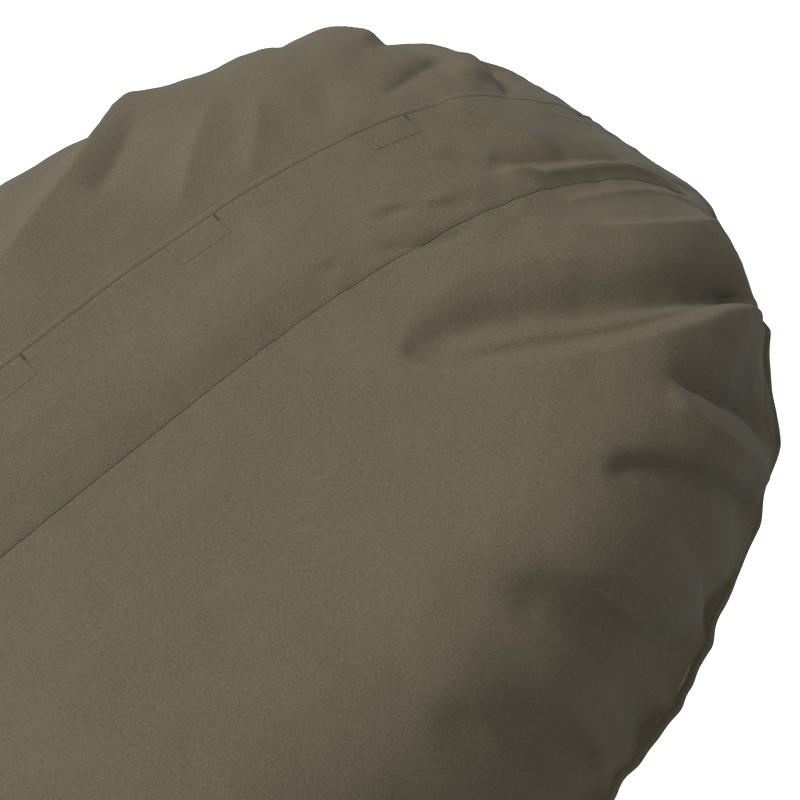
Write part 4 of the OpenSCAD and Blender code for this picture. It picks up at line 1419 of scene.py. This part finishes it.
def named_folds() -> tuple[Fold, ...]:
    """The folds of the head end, each by its path, depth and width."""
    soft, crease = FoldKind.SOFT, FoldKind.CREASE
    return (
        # The far side: a long ridge, two soft ones and a dent beside the flap.
        Fold(
            ((0.700, 0.330), (0.614, 0.285), (0.573, 0.262), (0.493, 0.231), (0.440, 0.222)),
            (-0.015, -0.009), (0.032, 0.04), (0.011, 0.013), crease, 0.1, 0.3,
        ),
        Fold(
            ((0.690, 0.372), (0.610, 0.322), (0.550, 0.296), (0.490, 0.270), (0.420, 0.258)),
            (0.005, 0.004), (0.014, 0.018), (0.030, 0.035), soft, 0.1, 0.3,
        ),
        Fold(
            ((0.665, 0.290), (0.610, 0.250), (0.560, 0.222)),
            (0.010, 0.008), (0.020, 0.024), (0.018, 0.02), crease, 0.3, 0.3,
        ),
        Fold(
            ((0.720, 0.245), (0.655, 0.195), (0.600, 0.148)),
            (-0.0075, -0.005), (0.022, 0.02), (0.014, 0.014), crease, 0.3, 0.3,
        ),
        Fold(
            ((0.752, 0.220), (0.707, 0.170), (0.672, 0.138)),
            (-0.0060, -0.004), (0.018, 0.02), (0.014, 0.014), crease, 0.3, 0.3,
        ),
        Fold(
            ((0.764, 0.128), (0.790, 0.175), (0.815, 0.225)),
            (0.004, 0.006), (0.012, 0.030), (0.016, 0.036), soft, 0.5, 0.6,
        ),
        # The lobe at the far head side and the wedge under it.
        Fold(
            ((0.858, 0.300), (0.882, 0.255), (0.902, 0.212)),
            (-0.020, -0.009), (0.013, 0.012), (0.038, 0.030), crease, 0.1, 0.2,
        ),
        Fold(
            ((0.885, 0.300), (0.904, 0.250), (0.922, 0.205), (0.945, 0.165)),
            (0.010, 0.008), (0.018, 0.012), (0.009, 0.010), crease, 0.1, 0.4,
        ),
        Fold(
            ((0.815, 0.135), (0.850, 0.144), (0.890, 0.154), (0.945, 0.168)),
            (0.004, 0.009), (0.006, 0.012), (0.012, 0.024), crease, 0.5, 0.2,
        ),
        Fold(
            ((0.915, 0.074), (0.955, 0.096), (0.982, 0.125), (1.000, 0.165)),
            (0.005, 0.013), (0.008, 0.014), (0.012, 0.022), crease, 0.5, 0.1,
        ),
        Fold(
            ((0.905, 0.122), (0.945, 0.140), (0.970, 0.165)),
            (-0.006, -0.008), (0.016, 0.02), (0.016, 0.02), soft, 0.3, 0.2,
        ),
        # The flap's head part.
        Fold(
            ((0.868, 0.112), (0.890, 0.070), (0.912, 0.030), (0.930, -0.006)),
            (-0.0065, -0.005), (0.018, 0.022), (0.009, 0.012), crease, 0.2, 0.3,
        ),
        Fold(
            ((0.846, 0.018), (0.853, 0.010), (0.866, 0.000)),
            (0.008, 0.004), (0.006, 0.007), (0.006, 0.006), crease, 0.25, 0.4,
        ),
        Fold(
            ((0.848, 0.014), (0.868, -0.008), (0.890, -0.020), (0.965, -0.037), (1.050, -0.060)),
            (-0.008, -0.009), (0.004, 0.006), (0.006, 0.008), crease, 0.15, 0.1,
        ),
        Fold(
            ((0.853, 0.024), (0.890, 0.002), (0.960, -0.016), (1.050, -0.030)),
            (0.006, 0.006), (0.010, 0.014), (0.006, 0.008), crease, 0.1, 0.2,
        ),
        Fold(
            ((0.870, -0.044), (0.900, -0.056), (0.971, -0.072), (1.060, -0.096)),
            (-0.003, -0.004), (0.004, 0.006), (0.005, 0.009), crease, 0.3, 0.1,
        ),
        Fold(
            ((0.826, -0.045), (0.863, -0.081), (0.917, -0.110), (0.990, -0.126), (1.050, -0.120)),
            (-0.0048, -0.008), (0.005, 0.008), (0.014, 0.024), crease, 0.2, 0.1,
        ),
        Fold(
            ((0.722, 0.038), (0.762, 0.024), (0.800, -0.010)),
            (0.0056, 0.0044), (0.008, 0.008), (0.006, 0.006), crease, 0.3, 0.4,
        ),
        Fold(
            ((0.706, 0.014), (0.747, -0.013), (0.795, -0.030)),
            (0.0060, 0.0046), (0.008, 0.010), (0.006, 0.008), crease, 0.3, 0.4,
        ),
        Fold(
            ((0.735, 0.050), (0.770, 0.020), (0.812, 0.006)),
            (-0.0046, -0.004), (0.006, 0.007), (0.006, 0.007), crease, 0.3, 0.4,
        ),
        Fold(
            ((0.812, 0.058), (0.838, 0.030), (0.846, 0.014)),
            (0.0045, 0.0050), (0.012, 0.008), (0.012, 0.008), soft, 0.4, 0.1,
        ),
        Fold(
            ((0.650, 0.036), (0.678, 0.016)),
            (0.0034, 0.0026), (0.006, 0.006), (0.005, 0.005), crease, 0.3, 0.4,
        ),
        # The near side: the big valley with its steep upper bank and its lower crease.
        Fold(
            (
                (0.668, -0.072), (0.705, -0.088), (0.745, -0.106), (0.804, -0.141),
                (0.880, -0.174), (0.990, -0.197),
            ),
            (0.006, 0.023), (0.012, 0.032), (0.015, 0.011), soft, 0.15, 0.0,
        ),
        Fold(
            (
                (0.661, -0.068), (0.671, -0.090), (0.695, -0.113), (0.730, -0.132),
                (0.777, -0.158), (0.820, -0.178), (0.873, -0.192), (0.930, -0.199),
                (1.000, -0.203),
            ),
            (0.006, 0.014), (0.013, 0.014), (0.006, 0.008), crease, 0.08, 0.0,
        ),
        Fold(
            ((0.680, -0.118), (0.750, -0.164), (0.850, -0.204), (0.980, -0.216)),
            (-0.003, -0.009), (0.008, 0.008), (0.022, 0.030), crease, 0.3, 0.0,
        ),
        Fold(
            ((0.680, -0.046), (0.745, -0.056), (0.800, -0.082), (0.870, -0.122)),
            (-0.003, -0.004), (0.018, 0.022), (0.012, 0.014), soft, 0.3, 0.2,
        ),
        # The second and third valleys, with the ridge between them.
        Fold(
            ((0.806, -0.224), (0.840, -0.256), (0.876, -0.277), (0.960, -0.296)),
            (0.011, 0.030), (0.018, 0.040), (0.006, 0.014), crease, 0.25, 0.0,
        ),
        Fold(
            ((0.800, -0.232), (0.808, -0.262), (0.833, -0.293), (0.871, -0.313), (0.905, -0.328)),
            (-0.006, -0.010), (0.009, 0.015), (0.013, 0.020), crease, 0.2, 0.0,
        ),
        Fold(
            ((0.704, -0.250), (0.735, -0.264), (0.768, -0.287), (0.815, -0.317), (0.870, -0.338)),
            (0.008, 0.019), (0.006, 0.009), (0.014, 0.042), crease, 0.2, 0.0,
        ),
        # The fourth valley, running down to the near seam.
        Fold(
            ((0.576, -0.256), (0.598, -0.283), (0.624, -0.315), (0.659, -0.356), (0.708, -0.394)),
            (0.005, 0.017), (0.015, 0.025), (0.020, 0.032), soft, 0.3, 0.0,
        ),
        Fold(
            ((0.640, -0.300), (0.668, -0.330), (0.690, -0.352)),
            (0.0025, 0.004), (0.006, 0.008), (0.006, 0.008), soft, 0.3, 0.3,
        ),
        Fold(
            ((0.470, -0.290), (0.520, -0.335), (0.570, -0.390)),
            (0.003, 0.010), (0.018, 0.022), (0.022, 0.026), soft, 0.3, 0.0,
        ),
        Fold(
            ((0.360, -0.330), (0.400, -0.370), (0.430, -0.410)),
            (0.002, 0.008), (0.018, 0.02), (0.022, 0.022), soft, 0.3, 0.0,
        ),
        # Folds that are out of sight from the head, toward the foot.
        Fold(
            ((0.180, 0.240), (0.150, 0.300), (0.130, 0.380)),
            (0.003, 0.012), (0.02, 0.03), (0.02, 0.03), soft, 0.3, 0.0,
        ),
        Fold(
            ((-0.10, -0.250), (-0.14, -0.300), (-0.16, -0.370)),
            (0.003, 0.011), (0.02, 0.03), (0.02, 0.03), soft, 0.3, 0.0,
        ),
        Fold(
            ((-0.42, 0.160), (-0.46, 0.220), (-0.50, 0.320)),
            (0.003, 0.010), (0.02, 0.03), (0.02, 0.025), soft, 0.3, 0.0,
        ),
        Fold(
            ((-0.70, -0.120), (-0.78, -0.190), (-0.86, -0.270)),
            (0.003, 0.014), (0.02, 0.03), (0.02, 0.03), soft, 0.3, 0.0,
        ),
        Fold(
            ((-0.78, 0.050), (-0.88, 0.070), (-1.00, 0.110)),
            (0.004, 0.018), (0.02, 0.03), (0.02, 0.03), soft, 0.3, 0.0,
        ),
        Fold(
            ((-0.80, -0.060), (-0.90, -0.090), (-1.02, -0.120)),
            (0.003, 0.015), (0.02, 0.03), (0.02, 0.03), soft, 0.3, 0.0,
        ),
    )


def seam_corners() -> tuple[SeamCorner, ...]:
    """The corners of the seam round the head end."""
    return (
        SeamCorner((1.115, -0.075), 0.012, 0.055),
        SeamCorner((1.060, -0.185), -0.003, 0.035),
        SeamCorner((1.038, -0.215), 0.011, 0.024, 1.4),
        SeamCorner((0.945, -0.300), 0.014, 0.048, 1.4),
        SeamCorner((0.870, -0.348), 0.006, 0.026, 1.5),
        SeamCorner((0.760, -0.394), -0.004, 0.040, 1.6),
    )


def main() -> None:
    """Builds every piece over the frame, in order."""
    logging.basicConfig(level=logging.INFO, format="%(message)s")
    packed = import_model()
    LOG.info("frame loaded with %d parts", len(packed["nodes"]))
    Studio().build()
    form = SackForm()
    zip_ends = (-0.600, 1.030)
    flap_ends = (-0.640, 1.050)
    surface = ClothSurface(form, named_folds(), seam_corners(), zip_y=0.050, slider_end_x=0.645, stop_x=1.025)
    wardrobe = Wardrobe()
    patch_heads = tuple(1.0247 - 0.1975 * k for k in range(9))
    made = Panels(surface, wardrobe, zip_ends).build()
    made += Perimeter(surface, wardrobe).build()
    made += StormFlap(surface, wardrobe, 0.008, 0.137, flap_ends, patch_heads, 2).build()
    made += Zip(surface, wardrobe, zip_ends).build()
    made.append(SealTape(surface, wardrobe, 0.008, flap_ends).build())
    made += HangLoop(surface, wardrobe).build()
    for piece in made:
        LOG.info("%s: %d faces", piece.name, len(piece.data.polygons))


if __name__ == "__main__":
    main()
